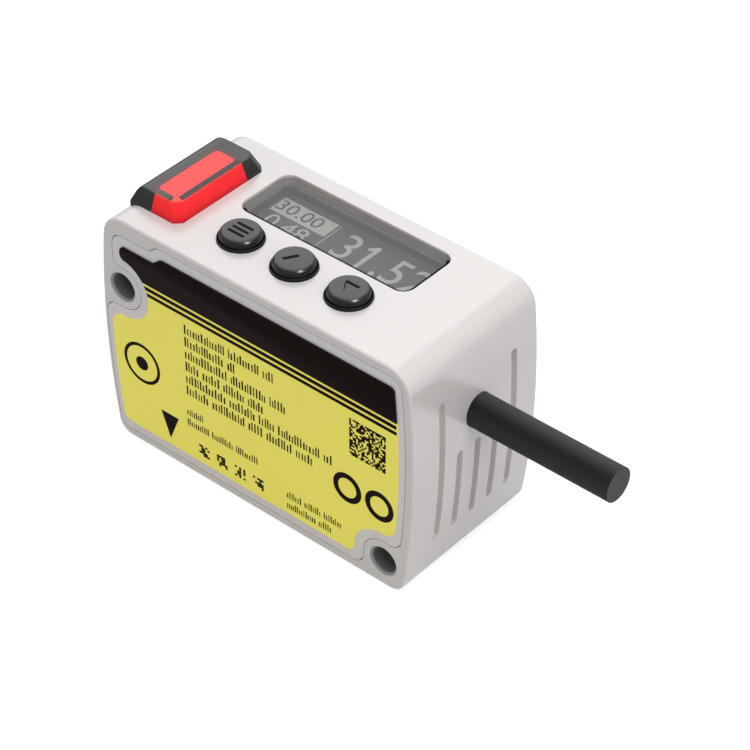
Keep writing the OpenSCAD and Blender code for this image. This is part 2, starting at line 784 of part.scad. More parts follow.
// Threaded ring that holds the receiving lens against its step
module lens_ring() {
    color("black") on_lens_axis() translate([0, 0, -lens_t / 2 - ring_l]) difference() {
        cylinder(h = ring_l, r = lens_d / 2);
        translate([0, 0, -cut]) cylinder(h = ring_l + 2 * cut, r = lens_d / 2 - ring_wall);
    }
}

module image_sensor() {
    color("black") on_lens_axis() translate([-chip_l / 2, -chip_w / 2, focus_len - chip_t])
        cube([chip_l, chip_w, chip_t]);
}

module sensor_board() {
    half_y = lens_d / 2 + 0.8;
    color("seagreen") on_lens_axis() translate([sensor_inset - sensor_half, -half_y, focus_len])
        cube([2 * (sensor_half - sensor_inset), 2 * half_y, sensor_board_t]);
}

module optic_windows() {
    color("darkred") {
        translate([-laser_x, 0, optic_glass_sink]) cylinder(h = optic_glass_t, r = laser_glass_r - pane_gap);
        along_z(optic_glass_sink, optic_pocket) polygon(round_box(lens_glass, -pane_gap, 0.6 - pane_gap));
    }
}

module cable_jacket() {
    color("black") along_x(jacket_x[0], jacket_x[1]) translate([end_mid_y, cable_z]) circle(d = cable_d);
}

module cable_bush() {
    color("dimgray") along_x(socket_x, socket_x + bush_l) translate([end_mid_y, cable_z]) difference() {
        circle(bush_r);
        circle(cable_r);
    }
}

module cable_ferrule() {
    color("silver") along_x(socket_x - ferrule_l, socket_x) translate([end_mid_y, cable_z]) difference() {
        circle(ferrule_r);
        circle(cable_r);
    }
}

module cable_cores() {
    color("peru") for (i = [0:core_count - 1])
        let (a = i * 360 / core_count)
        along_x(plug_x[1], jacket_x[0])
            translate([end_mid_y + core_ring_r * cos(a), cable_z + core_ring_r * sin(a)]) circle(d = core_d);
}

module cable_connector() {
    color("ivory")
        block(plug_x, [end_mid_y - plug_half, main_y[0]], [cable_z - plug_half, cable_z + plug_half]);
}

// A small screw along +Z, with its head below the origin
module screw(shank) {
    translate([0, 0, -screw_head_h]) cylinder(h = screw_head_h, r = screw_head_r);
    translate([0, 0, -screw_head_h / 2]) cylinder(h = shank + screw_head_h / 2, d = screw_d - 0.05);
}

module board_screws() {
    color("silver") {
        for (at = ceiling_posts) translate([at[0], at[1], board_z]) screw(board_t + screw_bite);
        for (at = board_posts)
            translate([at[0], main_y[0], at[1]]) rotate([-90, 0, 0]) screw(board_t + screw_bite);
    }
}

module block_screws() {
    color("silver") for (at = block_posts)
        translate([at[0], block_head_y, at[1]])
            rotate([-90, 0, 0]) screw(main_y[1] - block_head_y + screw_bite);
}

housing();
side_cover();
cover_seal();
label();
indicator_frame();
indicator_lens();
indicator_leds();
display_window();
display_frame();
display_glass();
display_backlight();
display_board();
button_seals();
button_mode();
button_up();
button_down();
tact_switches();
board_connector();
main_board();
processor();
power_coil();
optics_block();
laser_barrel();
collimator_lens();
laser_diode();
receiver_lens();
lens_ring();
image_sensor();
sensor_board();
optic_windows();
cable_jacket();
cable_bush();
cable_ferrule();
cable_cores();
cable_connector();
board_screws();
block_screws();
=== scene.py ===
"""Looks of a compact laser displacement sensor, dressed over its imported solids.

Every size in the classes below is in millimetres, and becomes metres where a mesh is made.
X runs along the long side with the cable at +X, the labelled side faces -Y, and +Z is up.
"""

import json
import logging
import math
from dataclasses import dataclass
from enum import Enum

import bmesh
import bpy
import numpy as np
from mathutils import Matrix, Vector


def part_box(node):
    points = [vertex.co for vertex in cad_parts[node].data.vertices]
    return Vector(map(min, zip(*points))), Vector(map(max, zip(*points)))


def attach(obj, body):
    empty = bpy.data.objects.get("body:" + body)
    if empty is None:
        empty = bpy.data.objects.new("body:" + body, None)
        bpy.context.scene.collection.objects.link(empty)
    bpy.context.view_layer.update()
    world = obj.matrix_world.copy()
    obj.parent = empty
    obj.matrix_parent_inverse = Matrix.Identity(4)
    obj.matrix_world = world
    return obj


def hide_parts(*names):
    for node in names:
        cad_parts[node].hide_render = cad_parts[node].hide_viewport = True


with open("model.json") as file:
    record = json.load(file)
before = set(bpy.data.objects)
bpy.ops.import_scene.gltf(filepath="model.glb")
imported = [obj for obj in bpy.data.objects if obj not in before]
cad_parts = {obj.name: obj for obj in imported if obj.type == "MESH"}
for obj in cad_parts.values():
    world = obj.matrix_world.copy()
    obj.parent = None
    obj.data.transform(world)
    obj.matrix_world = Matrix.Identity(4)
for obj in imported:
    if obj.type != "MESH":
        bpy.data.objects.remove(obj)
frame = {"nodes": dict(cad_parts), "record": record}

logging.basicConfig(level=logging.INFO, format="%(levelname)s %(message)s")
LOG = logging.getLogger("sensor")

MM = 0.001
SENSOR = "sensor"
BUTTONS = ("button_mode", "button_up", "button_down")
X, Y, Z = 0, 1, 2
LOW, HIGH = 0, 1
# Edges bent by more than this stay sharp in the shading
SHARP_DEG = 32.0
# Edges of the housing bent by at least this are rounded
CREASE_DEG = 60.0
# Edges of the other solids bent by more than this are rounded
SOFTEN_DEG = 35.0
# Triangles bent by less than this lie in one plane
FLAT_DEG = 0.1
# Corners closer than this are one corner
JOIN_MM = 1e-4
# Share by which the roughness of a finish wanders, and how strongly its grain shows
WANDER = 0.12
GRAIN_STRENGTH = 0.6

Point = tuple[float, float]
Place = tuple[float, float, float]
Rect = tuple[float, float, float, float]
Reading = tuple[str, float, float, float, float]
Socket = bpy.types.NodeSocket
Tree = bpy.types.NodeTree
Shell = bmesh.types.BMesh
Piece = bpy.types.Object


def side_of(node: str, axis: int, end: int) -> float:
    """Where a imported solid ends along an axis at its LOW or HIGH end, to the nearest 0.01 mm."""
    return round(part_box(node)[end][axis] / MM, 2)


def middle_of(node: str, axis: int) -> float:
    """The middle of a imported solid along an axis, halfway between its two ends."""
    return (side_of(node, axis, LOW) + side_of(node, axis, HIGH)) / 2


def linear(code: str) -> tuple[float, float, float, float]:
    """Turn an sRGB hex colour into linear RGBA.

    Each channel c follows the sRGB curve: c / 12.92 below 0.04045, else ((c + 0.055) / 1.055) ** 2.4.

    Args:
        code: six hex digits, with or without a leading hash.

    Returns:
        Linear red, green, blue and an alpha of 1.
    """
    digits = code.lstrip("#")
    channels = np.array([int(digits[i:i + 2], 16) for i in (0, 2, 4)]) / 255
    curve = np.where(channels <= 0.04045, channels / 12.92, ((channels + 0.055) / 1.055) ** 2.4)
    return (float(curve[0]), float(curve[1]), float(curve[2]), 1.0)


def empty_tree(owner: bpy.types.Material | bpy.types.World) -> Tree:
    """Switch a material or a world to nodes, and clear those that it came with.

    Args:
        owner: the material or the world.

    Returns:
        Its empty node tree.
    """
    owner.use_nodes = True
    owner.node_tree.nodes.clear()
    return owner.node_tree


def add_node(tree: Tree, kind: str, inputs: dict | None = None, **settings: object) -> bpy.types.Node:
    """Add a node, set its properties, and fill or link its inputs.

    Args:
        tree: the node tree.
        kind: the node's type name.
        inputs: values or output sockets by input name or index.
        settings: properties of the node itself.

    Returns:
        The new node.
    """
    node = tree.nodes.new(kind)
    for name, value in settings.items():
        setattr(node, name, value)
    for key, value in (inputs or {}).items():
        socket = node.inputs[key]
        if isinstance(value, Socket):
            tree.links.new(value, socket)
        else:
            socket.default_value = value
    return node


def colour_of(mix: bpy.types.Node) -> Socket:
    """The one output of a mix that carries its colour."""
    return next(s for s in mix.outputs if s.type == "RGBA")


def set_ramp(node: bpy.types.Node, stops: tuple[tuple[float, str], ...]) -> None:
    """Give a colour ramp its stops.

    Args:
        node: the ramp, which comes with two stops.
        stops: a position and an sRGB hex colour for each stop, at least two.
    """
    elements = node.color_ramp.elements
    while len(elements) < len(stops):
        elements.new(0.5)
    for element, (place, colour) in zip(elements, stops):
        element.position = place
        element.color = linear(colour)


@dataclass(frozen=True)
class Finish:
    """A surface: what the real material is, how it was made, and the values that show it."""

    name: str
    colour: str
    shade: str
    roughness: float
    ior: float = 1.5
    metallic: float = 0.0
    specular: float = 0.5
    coat: float = 0.0
    coat_roughness: float = 0.1
    alpha: float = 1.0
    glow: float = 0.0
    grain_mm: float = 0.12
    grain_depth_mm: float = 0.004
    cloud_mm: float = 9.0
    stretch: Place = (1.0, 1.0, 1.0)

    def start(self) -> tuple[bpy.types.Material, Tree, bpy.types.Node, Socket]:
        """Make the material with its shader and its object coordinates.

        Returns:
            The material, its tree, its shader and the coordinates' socket.
        """
        material = bpy.data.materials.new(self.name)
        tree = empty_tree(material)
        shader = add_node(tree, "ShaderNodeBsdfPrincipled", {
            "Base Color": linear(self.colour), "Roughness": self.roughness, "IOR": self.ior,
            "Metallic": self.metallic, "Specular IOR Level": self.specular, "Coat Weight": self.coat,
            "Coat Roughness": self.coat_roughness, "Alpha": self.alpha,
            "Emission Color": linear(self.colour), "Emission Strength": self.glow,
        })
        output = add_node(tree, "ShaderNodeOutputMaterial", {"Surface": shader.outputs["BSDF"]})
        output.is_active_output = True
        place = add_node(tree, "ShaderNodeTexCoord").outputs["Object"]
        return material, tree, shader, place

    def colour_socket(self, tree: Tree, place: Socket) -> Socket:
        """Mix the colour with its shade in slow clouds of cloud_mm.

        Args:
            tree: the node tree.
            place: the object coordinates.

        Returns:
            The colour.
        """
        clouds = add_node(tree, "ShaderNodeTexNoise", {"Vector": place, "Scale": 1 / (self.cloud_mm * MM),
                                                       "Detail": 4.0, "Roughness": 0.55})
        return colour_of(add_node(tree, "ShaderNodeMix", {
            "Factor": clouds.outputs["Fac"], "A": linear(self.colour), "B": linear(self.shade),
        }, data_type="RGBA"))

    def build(self) -> bpy.types.Material:
        """Make the node material: clouded colour, roughness that wanders, and a fine grain as bump.

        Returns:
            The material.
        """
        material, tree, shader, place = self.start()
        colour = self.colour_socket(tree, place)
        tree.links.new(colour, shader.inputs["Base Color"])
        if self.glow > 0:
            tree.links.new(colour, shader.inputs["Emission Color"])
        stretched = add_node(tree, "ShaderNodeMapping", {"Vector": place, "Scale": self.stretch})
        grain = add_node(tree, "ShaderNodeTexNoise", {"Vector": stretched.outputs["Vector"],
                                                      "Scale": 1 / (self.grain_mm * MM), "Detail": 3.0})
        wander = add_node(tree, "ShaderNodeMapRange", {"Value": grain.outputs["Fac"],
                                                       "To Min": self.roughness * (1 - WANDER),
                                                       "To Max": min(1.0, self.roughness * (1 + WANDER))})
        tree.links.new(wander.outputs["Result"], shader.inputs["Roughness"])
        bump = add_node(tree, "ShaderNodeBump", {"Height": grain.outputs["Fac"], "Strength": GRAIN_STRENGTH,
                                                 "Distance": self.grain_depth_mm * MM})
        tree.links.new(bump.outputs["Normal"], shader.inputs["Normal"])
        return material


@dataclass(frozen=True)
class GradedFinish(Finish):
    """A finish whose colour changes along one axis, between two levels of the object."""

    axis: str = "Z"
    low_mm: float = 0.0
    high_mm: float = 1.0
    stops: tuple[tuple[float, str], ...] = ()

    def colour_socket(self, tree: Tree, place: Socket) -> Socket:
        """Read the colour from a ramp along the axis, between low_mm and high_mm.

        Args:
            tree: the node tree.
            place: the object coordinates.

        Returns:
            The colour.
        """
        parts = add_node(tree, "ShaderNodeSeparateXYZ", {"Vector": place})
        level = add_node(tree, "ShaderNodeMapRange", {"Value": parts.outputs[self.axis],
                                                      "From Min": self.low_mm * MM,
                                                      "From Max": self.high_mm * MM})
        ramp = add_node(tree, "ShaderNodeValToRGB", {"Fac": level.outputs["Result"]})
        set_ramp(ramp, self.stops)
        return ramp.outputs["Color"]


@dataclass(frozen=True)
class HaloFinish(GradedFinish):
    """A graded finish with a painted glow of another colour close to a lit rectangle, where light bleeds into
    it.
    """

    middle: Point = (0.0, 0.0)
    half: Point = (1.0, 1.0)
    halo: str = "#FF0000"
    reach_mm: float = 1.0
    strength: float = 0.5

    def colour_socket(self, tree: Tree, place: Socket) -> Socket:
        """Mix the halo in over its reach.

        The distance outside the rectangle is the length of max(|p - middle| - half, 0), taken in X and Y.
        A half height of 1 m keeps Z out of it.

        Args:
            tree: the node tree.
            place: the object coordinates.

        Returns:
            The colour.
        """
        base = super().colour_socket(tree, place)
        middle = (self.middle[X] * MM, self.middle[Y] * MM, 0.0)
        half = (self.half[X] * MM, self.half[Y] * MM, 1.0)
        nought = (0.0, 0.0, 0.0)
        outside = place
        for operation, other in (("SUBTRACT", middle), ("ABSOLUTE", nought), ("SUBTRACT", half),
                                 ("MAXIMUM", nought)):
            outside = add_node(tree, "ShaderNodeVectorMath", {0: outside, 1: other},
                               operation=operation).outputs[0]
        away = add_node(tree, "ShaderNodeVectorMath", {0: outside}, operation="LENGTH")
        share = add_node(tree, "ShaderNodeMapRange", {"Value": away.outputs["Value"], "From Min": 0.0,
                                                      "From Max": self.reach_mm * MM,
                                                      "To Min": self.strength, "To Max": 0.0})
        return colour_of(add_node(tree, "ShaderNodeMix", {
            "Factor": share.outputs["Result"], "A": base, "B": linear(self.halo),
        }, data_type="RGBA"))


class Look(Enum):
    """The finishes of the sensor, most named for their real material."""

    # PBT, injection moulded against a finely eroded tool: satin, so the end wall mirrors the cable softly
    WHITE_SHELL = Finish("pbt_white_moulded", "#F0EBE9", "#EBE6E4", 0.24, specular=0.8, coat=0.5,
                         coat_roughness=0.18, grain_mm=0.16, grain_depth_mm=0.0015)
    # PBT plate of the same grade from another tool: a shade cooler and duller than the shell round it
    COVER_PLATE = Finish("pbt_grey_moulded", "#F8F3F5", "#F2EDEF", 0.34, specular=0.8, coat=0.5,
                         coat_roughness=0.25, grain_mm=0.16, grain_depth_mm=0.002)
    # Polyester film, gravure printed yellow up to the band: an even colour, with a painted glow that
    # brightens it beyond the lamps' light
    LABEL_FILM = GradedFinish("polyester_film_yellow", "#F0E562", "#EBE05D", 0.42, specular=0.3, glow=0.29,
                              grain_mm=0.3, grain_depth_mm=0.001, low_mm=23.2, high_mm=23.4,
                              stops=((0.0, "#F0E562"), (0.49, "#F0E562"), (0.51, "#1C1211"),
                                     (1.0, "#1C1211")))
    # Gravure ink: warm black that stays dark at a slant
    LABEL_INK = Finish("printing_ink_black", "#1C1211", "#190F0E", 0.65, specular=0.05, grain_mm=0.2,
                       grain_depth_mm=0.001)
    # Smoked acrylic: nearly black at its sides, painted greyer on its top as a reflection of the light above,
    # and with a painted red glow beside the lit panel
    SMOKED = HaloFinish("acrylic_smoked", "#2A2A29", "#252524", 0.22, ior=1.49, specular=0.35,
                        grain_mm=0.5, grain_depth_mm=0.0008, low_mm=31.0, high_mm=32.0,
                        stops=((0.0, "#222221"), (0.9, "#2C2C2B"), (0.97, "#4C4C4B"), (1.0, "#4C4C4B")),
                        middle=(-16.4, -0.625), half=(1.4, 4.575), halo="#A03A34", reach_mm=0.7,
                        strength=0.35)
    # The same acrylic on the outer faces of its edge, as a darker skin: black, with hardly any shine
    SMOKED_EDGE = Finish("acrylic_smoked_thick", "#1A1A1A", "#171717", 0.35, specular=0.12, grain_mm=0.5,
                         grain_depth_mm=0.0008)
    # The same acrylic in thin bars between lit parts: dark, with the red of the lit lens below painted in as
    # light coming through
    SMOKED_BAR = Finish("acrylic_smoked_thin", "#42302F", "#3D2C2B", 0.3, ior=1.49, specular=0.35,
                        grain_mm=0.5, grain_depth_mm=0.0008)
    # Acrylic tinted red, lit from below: painted shade darkens its foot, and a painted reflection of the
    # light above makes its top paler
    RED_LENS = GradedFinish("acrylic_red_lit", "#FF3030", "#F02A2E", 0.14, ior=1.49, specular=0.22,
                            glow=0.3, grain_mm=0.6, grain_depth_mm=0.0008, low_mm=30.0, high_mm=32.0,
                            stops=((0.0, "#B41018"), (0.35, "#F21E26"), (0.9, "#FF282C"),
                                   (1.0, "#F44F4D")))
    # Polycarbonate window with a neutral tint: it greys the picture and carries a soft sheen
    PANE = Finish("polycarbonate_tinted", "#888683", "#848280", 0.07, ior=1.58, alpha=0.3, grain_mm=1.0,
                  grain_depth_mm=0.0002)
    # ABS, moulded: dull grey walls, and a ledge round the picture painted paler as painted light, where the
    # light falls on it
    FRAME_GREY = GradedFinish("abs_grey_moulded", "#6A6A67", "#646461", 0.5, grain_mm=0.14,
                              grain_depth_mm=0.003, low_mm=28.0, high_mm=29.0,
                              stops=((0.0, "#6A6A67"), (0.55, "#6A6A67"), (0.58, "#B4B4B0"),
                                     (1.0, "#B4B4B0")))
    # Liquid crystal cell behind its polariser: even dark grey with a weak gloss
    CELL = Finish("lcd_polariser", "#6C6A67", "#676562", 0.3, grain_mm=0.4, grain_depth_mm=0.0005)
    # Segments that let the backlight through: pale, and a little brighter than any print
    CELL_LIT = Finish("lcd_segment_lit", "#DAD9D5", "#D3D2CE", 0.4, glow=0.36, grain_mm=0.25,
                      grain_depth_mm=0.0003)
    # Segments that hold the backlight back: grey digits within the pale box
    CELL_DARK = Finish("lcd_segment_dark", "#575754", "#50504D", 0.4, grain_mm=0.25, grain_depth_mm=0.0003)
    # Opal polycarbonate: milky and dull, so that the backlight is even
    DIFFUSER = Finish("polycarbonate_diffuser", "#EDEBE6", "#E6E4DF", 0.55)
    # Silicone rubber, moulded: dull skin, dark on its sides, and painted greyer on top as a reflection of the
    # light above
    CAP_RUBBER = GradedFinish("silicone_grey", "#4A4A48", "#3F3F3D", 0.23, specular=0.25, grain_mm=0.1,
                              grain_depth_mm=0.0012, low_mm=30.6, high_mm=31.15,
                              stops=((0.0, "#161615"), (0.7, "#1B1B1A"), (0.96, "#484846"),
                                     (1.0, "#5C5C5A")))
    # The caps' silicone again: grey like their foot above, and a thin black line of painted shade where it
    # meets the shell
    RING_RUBBER = GradedFinish("silicone_black", "#161615", "#111110", 0.4, specular=0.2, grain_mm=0.1,
                               grain_depth_mm=0.002, low_mm=30.0, high_mm=30.3,
                               stops=((0.0, "#040404"), (0.3, "#060606"), (0.6, "#1A1A19"),
                                      (1.0, "#1D1D1C")))
    # Pad print: near black and smooth against the rubber's tooth. The same finish carries the painted shade
    # line along the pane's edge
    MARK_INK = Finish("pad_print_and_painted_shade_black", "#0A0A0A", "#080808", 0.5, specular=0.05, grain_mm=0.1,
                      grain_depth_mm=0.001)
    # Polyurethane sheath, extruded: dull and drawn along the cable, with a painted dark band along its near
    # side and painted highlight making its far side greyer
    SHEATH = GradedFinish("polyurethane_black", "#282827", "#232322", 0.6, specular=0.15, grain_mm=0.25,
                          grain_depth_mm=0.004, stretch=(0.15, 1.0, 1.0), axis="Y", low_mm=-1.65,
                          high_mm=2.35, stops=((0.0, "#313130"), (0.12, "#1A1A19"), (0.22, "#1A1A19"),
                                               (0.5, "#3F3F3E"), (1.0, "#484847")))
    # The same sheath sawn across: rough and paler
    SHEATH_CUT = Finish("polyurethane_cut", "#565655", "#4E4E4D", 0.7, specular=0.3, grain_mm=0.12,
                        grain_depth_mm=0.01)
    # Absorbing glass: nearly black, red where light comes through
    FILTER_GLASS = Finish("filter_glass_red", "#4A0A0C", "#430809", 0.05, ior=1.52, alpha=0.85, grain_mm=1.0,
                          grain_depth_mm=0.0003)
    # Crown glass of the lenses: clear with a bright skin
    OPTIC_GLASS = Finish("crown_glass", "#DDE8EA", "#D8E4E6", 0.03, ior=1.52, alpha=0.4, grain_mm=1.0,
                         grain_depth_mm=0.0002)
    # Silicone sealant: a soft grey line in the gap round the plate
    SEAL = Finish("silicone_sealant", "#C6C4C6", "#BDBBBD", 0.6)
    # Glass-fibre board under green solder resist: glossy, with the weave faintly showing
    BOARD = Finish("solder_resist_green", "#1D5A37", "#184E2F", 0.3, coat=0.3, grain_mm=0.35,
                   grain_depth_mm=0.006)
    # Epoxy moulding compound of the chips: dull black with a fine tooth
    CHIP = Finish("epoxy_mould_compound", "#1B1B1C", "#161617", 0.6, grain_mm=0.08, grain_depth_mm=0.004)
    # Ceramic carriers of the light chips: warm white
    CHIP_LIGHT = Finish("led_ceramic", "#EFE7D2", "#E7DEC8", 0.4)
    # Nylon of the plug: ivory, waxy
    IVORY = Finish("nylon_ivory", "#E6DFC9", "#DED7C0", 0.5)
    # Soft PVC round the cores: brown with a weak gloss
    CORES = Finish("pvc_core_brown", "#A86A3C", "#9C6136", 0.4)
    # Sintered ferrite: dark and grainy
    FERRITE = Finish("ferrite_sintered", "#333335", "#2C2C2E", 0.7, grain_mm=0.2, grain_depth_mm=0.01)
    # Die-cast zinc, blackened against stray light: rough skin with a metal's dull shine
    DIE_CAST = Finish("zinc_die_cast_black", "#3A3A3C", "#323234", 0.55, metallic=0.6, grain_mm=0.2,
                      grain_depth_mm=0.008)
    # Turned brass: fine rings round the axis
    BRASS = Finish("brass_turned", "#C9A75B", "#C09E52", 0.3, metallic=1.0, grain_mm=0.1,
                   grain_depth_mm=0.003, stretch=(1.0, 1.0, 8.0))
    # Zinc-plated steel: even, cool shine
    STEEL = Finish("steel_zinc_plated", "#C4C4C3", "#BBBBBA", 0.32, metallic=1.0, grain_mm=0.1,
                   grain_depth_mm=0.002)
    # Thin linings in the mounting holes, coloured as painted shade: paler at the flared mouth where light
    # reaches, dark within
    SLEEVE = GradedFinish("hole_lining_painted_shade", "#858384", "#7C7A7B", 0.6, specular=0.3, grain_mm=0.1,
                          grain_depth_mm=0.004, axis="Y", low_mm=-10.2, high_mm=-9.9,
                          stops=((0.0, "#B0AEAF"), (0.8, "#A3A1A2"), (1.0, "#858384")))
    # Anodised aluminium: matt black with a metal's edge highlights
    ANODISED = Finish("aluminium_black_anodised", "#1C1C1E", "#171719", 0.4, metallic=0.7)

    def material(self) -> bpy.types.Material:
        """The finish as a Blender material, made the first time it is asked for."""
        return bpy.data.materials.get(self.value.name) or self.value.build()


NODE_LOOKS: dict[str, Look] = {
    "side_cover": Look.COVER_PLATE, "cover_seal": Look.SEAL, "label": Look.LABEL_FILM,
    "indicator_frame": Look.SMOKED, "indicator_lens": Look.RED_LENS, "indicator_leds": Look.CHIP_LIGHT,
    "display_window": Look.PANE, "display_frame": Look.FRAME_GREY, "display_glass": Look.CELL,
    "display_backlight": Look.DIFFUSER, "display_board": Look.BOARD, "button_seals": Look.RING_RUBBER,
    "tact_switches": Look.STEEL, "board_connector": Look.CHIP, "main_board": Look.BOARD,
    "processor": Look.CHIP, "power_coil": Look.FERRITE, "optics_block": Look.DIE_CAST,
    "laser_barrel": Look.BRASS, "collimator_lens": Look.OPTIC_GLASS, "laser_diode": Look.BRASS,
    "receiver_lens": Look.OPTIC_GLASS, "lens_ring": Look.ANODISED, "image_sensor": Look.CHIP,
    "sensor_board": Look.BOARD, "optic_windows": Look.FILTER_GLASS, "cable_jacket": Look.SHEATH,
    "cable_bush": Look.SEAL, "cable_ferrule": Look.STEEL, "cable_cores": Look.CORES,
    "cable_connector": Look.IVORY, "board_screws": Look.STEEL, "block_screws": Look.STEEL,
}

# Width of the moulded edges of the solids that show
NODE_EDGES: dict[str, float] = {
    "side_cover": 0.1, "label": 0.03, "indicator_frame": 0.12, "display_window": 0.08, "button_seals": 0.08,
    "cable_jacket": 0.05,
}


def new_object(name: str, mesh: bpy.types.Mesh, look: Look, body: str = SENSOR) -> Piece:
    """Put a finished mesh in the scene at the origin and let it ride on a body.

    Args:
        name: the piece's name.
        mesh: its mesh, in metres, already in place.
        look: its finish.
        body: the CAD body it moves with.

    Returns:
        The new object.
    """
    piece = bpy.data.objects.new(name, mesh)
    bpy.context.collection.objects.link(piece)
    mesh.materials.clear()
    mesh.materials.append(look.material())
    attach(piece, body)
    LOG.info("%s: %d faces", name, len(mesh.polygons))
    return piece


def in_metres(points: np.ndarray, place: Matrix) -> np.ndarray:
    """Apply place to rows of (x, y, z) in millimetres, and turn them into metres."""
    turn = np.array(place)
    return (points @ turn[:3, :3].T + turn[:3, 3]) * MM


def plates_mesh(name: str, outlines: list[np.ndarray], place: Matrix, height: float) -> bpy.types.Mesh:
    """Make closed flat plates from outlines.

    Each outline (u, v) becomes two rings, at 0 and at height over the plane, joined by a band:
    point = place applied to (u, v, 0) or (u, v, height).

    Args:
        name: the mesh's name.
        outlines: counter-clockwise outlines in millimetres, one array of (u, v) rows each.
        place: turns plane coordinates in millimetres into object coordinates in millimetres.
        height: how far the plates stand over the plane.

    Returns:
        The mesh, in metres.
    """
    points, faces, start = [], [], 0
    for outline in outlines:
        count = len(outline)
        ring = np.arange(count)
        after = np.roll(ring, -1)
        points += [np.column_stack([outline, np.full(count, level)]) for level in (0.0, height)]
        faces += [(start + ring[::-1]).tolist(), (start + count + ring).tolist()]
        faces += (start + np.column_stack([ring, after, after + count, ring + count])).tolist()
        start += 2 * count
    mesh = bpy.data.meshes.new(name)
    mesh.from_pydata(in_metres(np.vstack(points), place).tolist(), [], faces)
    mesh.update()
    return mesh


def lay(name: str, outlines: list[np.ndarray], place: Matrix, height: float, look: Look,
        body: str = SENSOR) -> Piece:
    """Lay flat plates on a surface and put them in the scene as one piece.

    Args:
        name: the piece's name.
        outlines: counter-clockwise outlines in millimetres, one array of (u, v) rows each.
        place: turns plane coordinates in millimetres into object coordinates in millimetres.
        height: how far the plates stand over the surface.
        look: their finish.
        body: the CAD body they move with.

    Returns:
        The new object.
    """
    return new_object(name, plates_mesh(name, outlines, place, height), look, body)


def turned_mesh(name: str, section: np.ndarray, place: Matrix, loop: bool = False,
                count: int = 96) -> bpy.types.Mesh:
    """Turn a half section about an axis: point = place applied to (r cos a, r sin a, h).

    Args:
        name: the mesh's name.
        section: rows of (r, h) in millimetres, with the solid on the left of the way along them.
        place: turns coordinates about the axis in millimetres into object coordinates in millimetres.
        loop: whether the section closes on itself; flat discs close it otherwise.
        count: steps round the axis.

    Returns:
        The mesh, in metres, smooth except across its sharp edges.
    """
    radius, level = section.T
    angle = np.linspace(0, 2 * np.pi, count, endpoint=False)
    cloud = np.stack([np.outer(radius, np.cos(angle)), np.outer(radius, np.sin(angle)),
                      np.repeat(level[:, None], count, axis=1)], axis=-1).reshape(-1, 3)
    row, column = np.indices((len(radius) if loop else len(radius) - 1, count))
    low, high = row * count, (row + 1) % len(radius) * count
    after = (column + 1) % count
    faces = np.stack([low + column, low + after, high + after, high + column], axis=-1)
    faces = faces.reshape(-1, 4).tolist()
    if not loop:
        ring = np.arange(count)
        faces += [ring[::-1].tolist(), (ring + count * (len(radius) - 1)).tolist()]
    mesh = bpy.data.meshes.new(name)
    mesh.from_pydata(in_metres(cloud, place).tolist(), [], faces)
    mesh.polygons.foreach_set("use_smooth", np.ones(len(faces), dtype=bool))
    mesh.set_sharp_from_angle(angle=math.radians(SHARP_DEG))
    return mesh


def bar(u: float, v: float, width: float, height: float) -> np.ndarray:
    """A rectangle with its lower left corner at (u, v), as four rows of (u, v)."""
    return np.array([[u, v], [u + width, v], [u + width, v + height], [u, v + height]])


def circle(u: float, v: float, radius: float, angles: np.ndarray) -> np.ndarray:
    """Points on a circle: (u, v) + radius times (cos a, sin a), one row for each angle."""
    return np.column_stack([np.cos(angles), np.sin(angles)]) * radius + [u, v]


def disc(u: float, v: float, radius: float, count: int = 32) -> np.ndarray:
    """A filled circle: count points of it over equal steps of angle."""
    return circle(u, v, radius, np.linspace(0, 2 * np.pi, count, endpoint=False))


def ring_parts(u: float, v: float, radius: float, line: float, count: int = 48) -> list[np.ndarray]:
    """Cut a ring into short sectors, which a flat plate can fill: points at radius and radius - line.

    Args:
        u: its middle.
        v: its middle.
        radius: its outer radius.
        line: its width.
        count: how many sectors.

    Returns:
        The outline of each sector.
    """
    angles = np.linspace(0, 2 * np.pi, count + 1)
    outer, inner = (circle(u, v, reach, angles) for reach in (radius, radius - line))
    return [np.array([outer[i], outer[i + 1], inner[i + 1], inner[i]]) for i in range(count)]


def stroke(start: Point, end: Point, line: float) -> np.ndarray:
    """Draw a straight stroke: both its ends moved by half the line's width to either side.

    Args:
        start: where it starts.
        end: where it ends.
        line: its width.

    Returns:
        Its outline.
    """
    a, b = np.array(start), np.array(end)
    along = (b - a) / np.linalg.norm(b - a)
    side = np.array([-along[1], along[0]]) * line / 2
    return np.array([a - side, b - side, b + side, a + side])


def merged_copy(node: str) -> Shell:
    """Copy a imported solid, join its loose triangles, and merge those that lie in one plane.

    Args:
        node: the solid's name.

    Returns:
        The copy.
    """
    shell = bmesh.new()
    shell.from_mesh(frame["nodes"][node].data)
    bmesh.ops.remove_doubles(shell, verts=shell.verts, dist=JOIN_MM * MM)
    bmesh.ops.dissolve_limit(shell, angle_limit=math.radians(FLAT_DEG), verts=shell.verts, edges=shell.edges)
    return shell


def lift_skin(shell: Shell) -> list[bmesh.types.BMVert]:
    """Double an open skin into two layers with a rim between them.

    Args:
        shell: the skin.

    Returns:
        The points of the new outer layer, which still lie on the inner one.
    """
    skin = bmesh.ops.extrude_face_region(shell, geom=shell.faces[:])
    return [e for e in skin["geom"] if isinstance(e, bmesh.types.BMVert)]


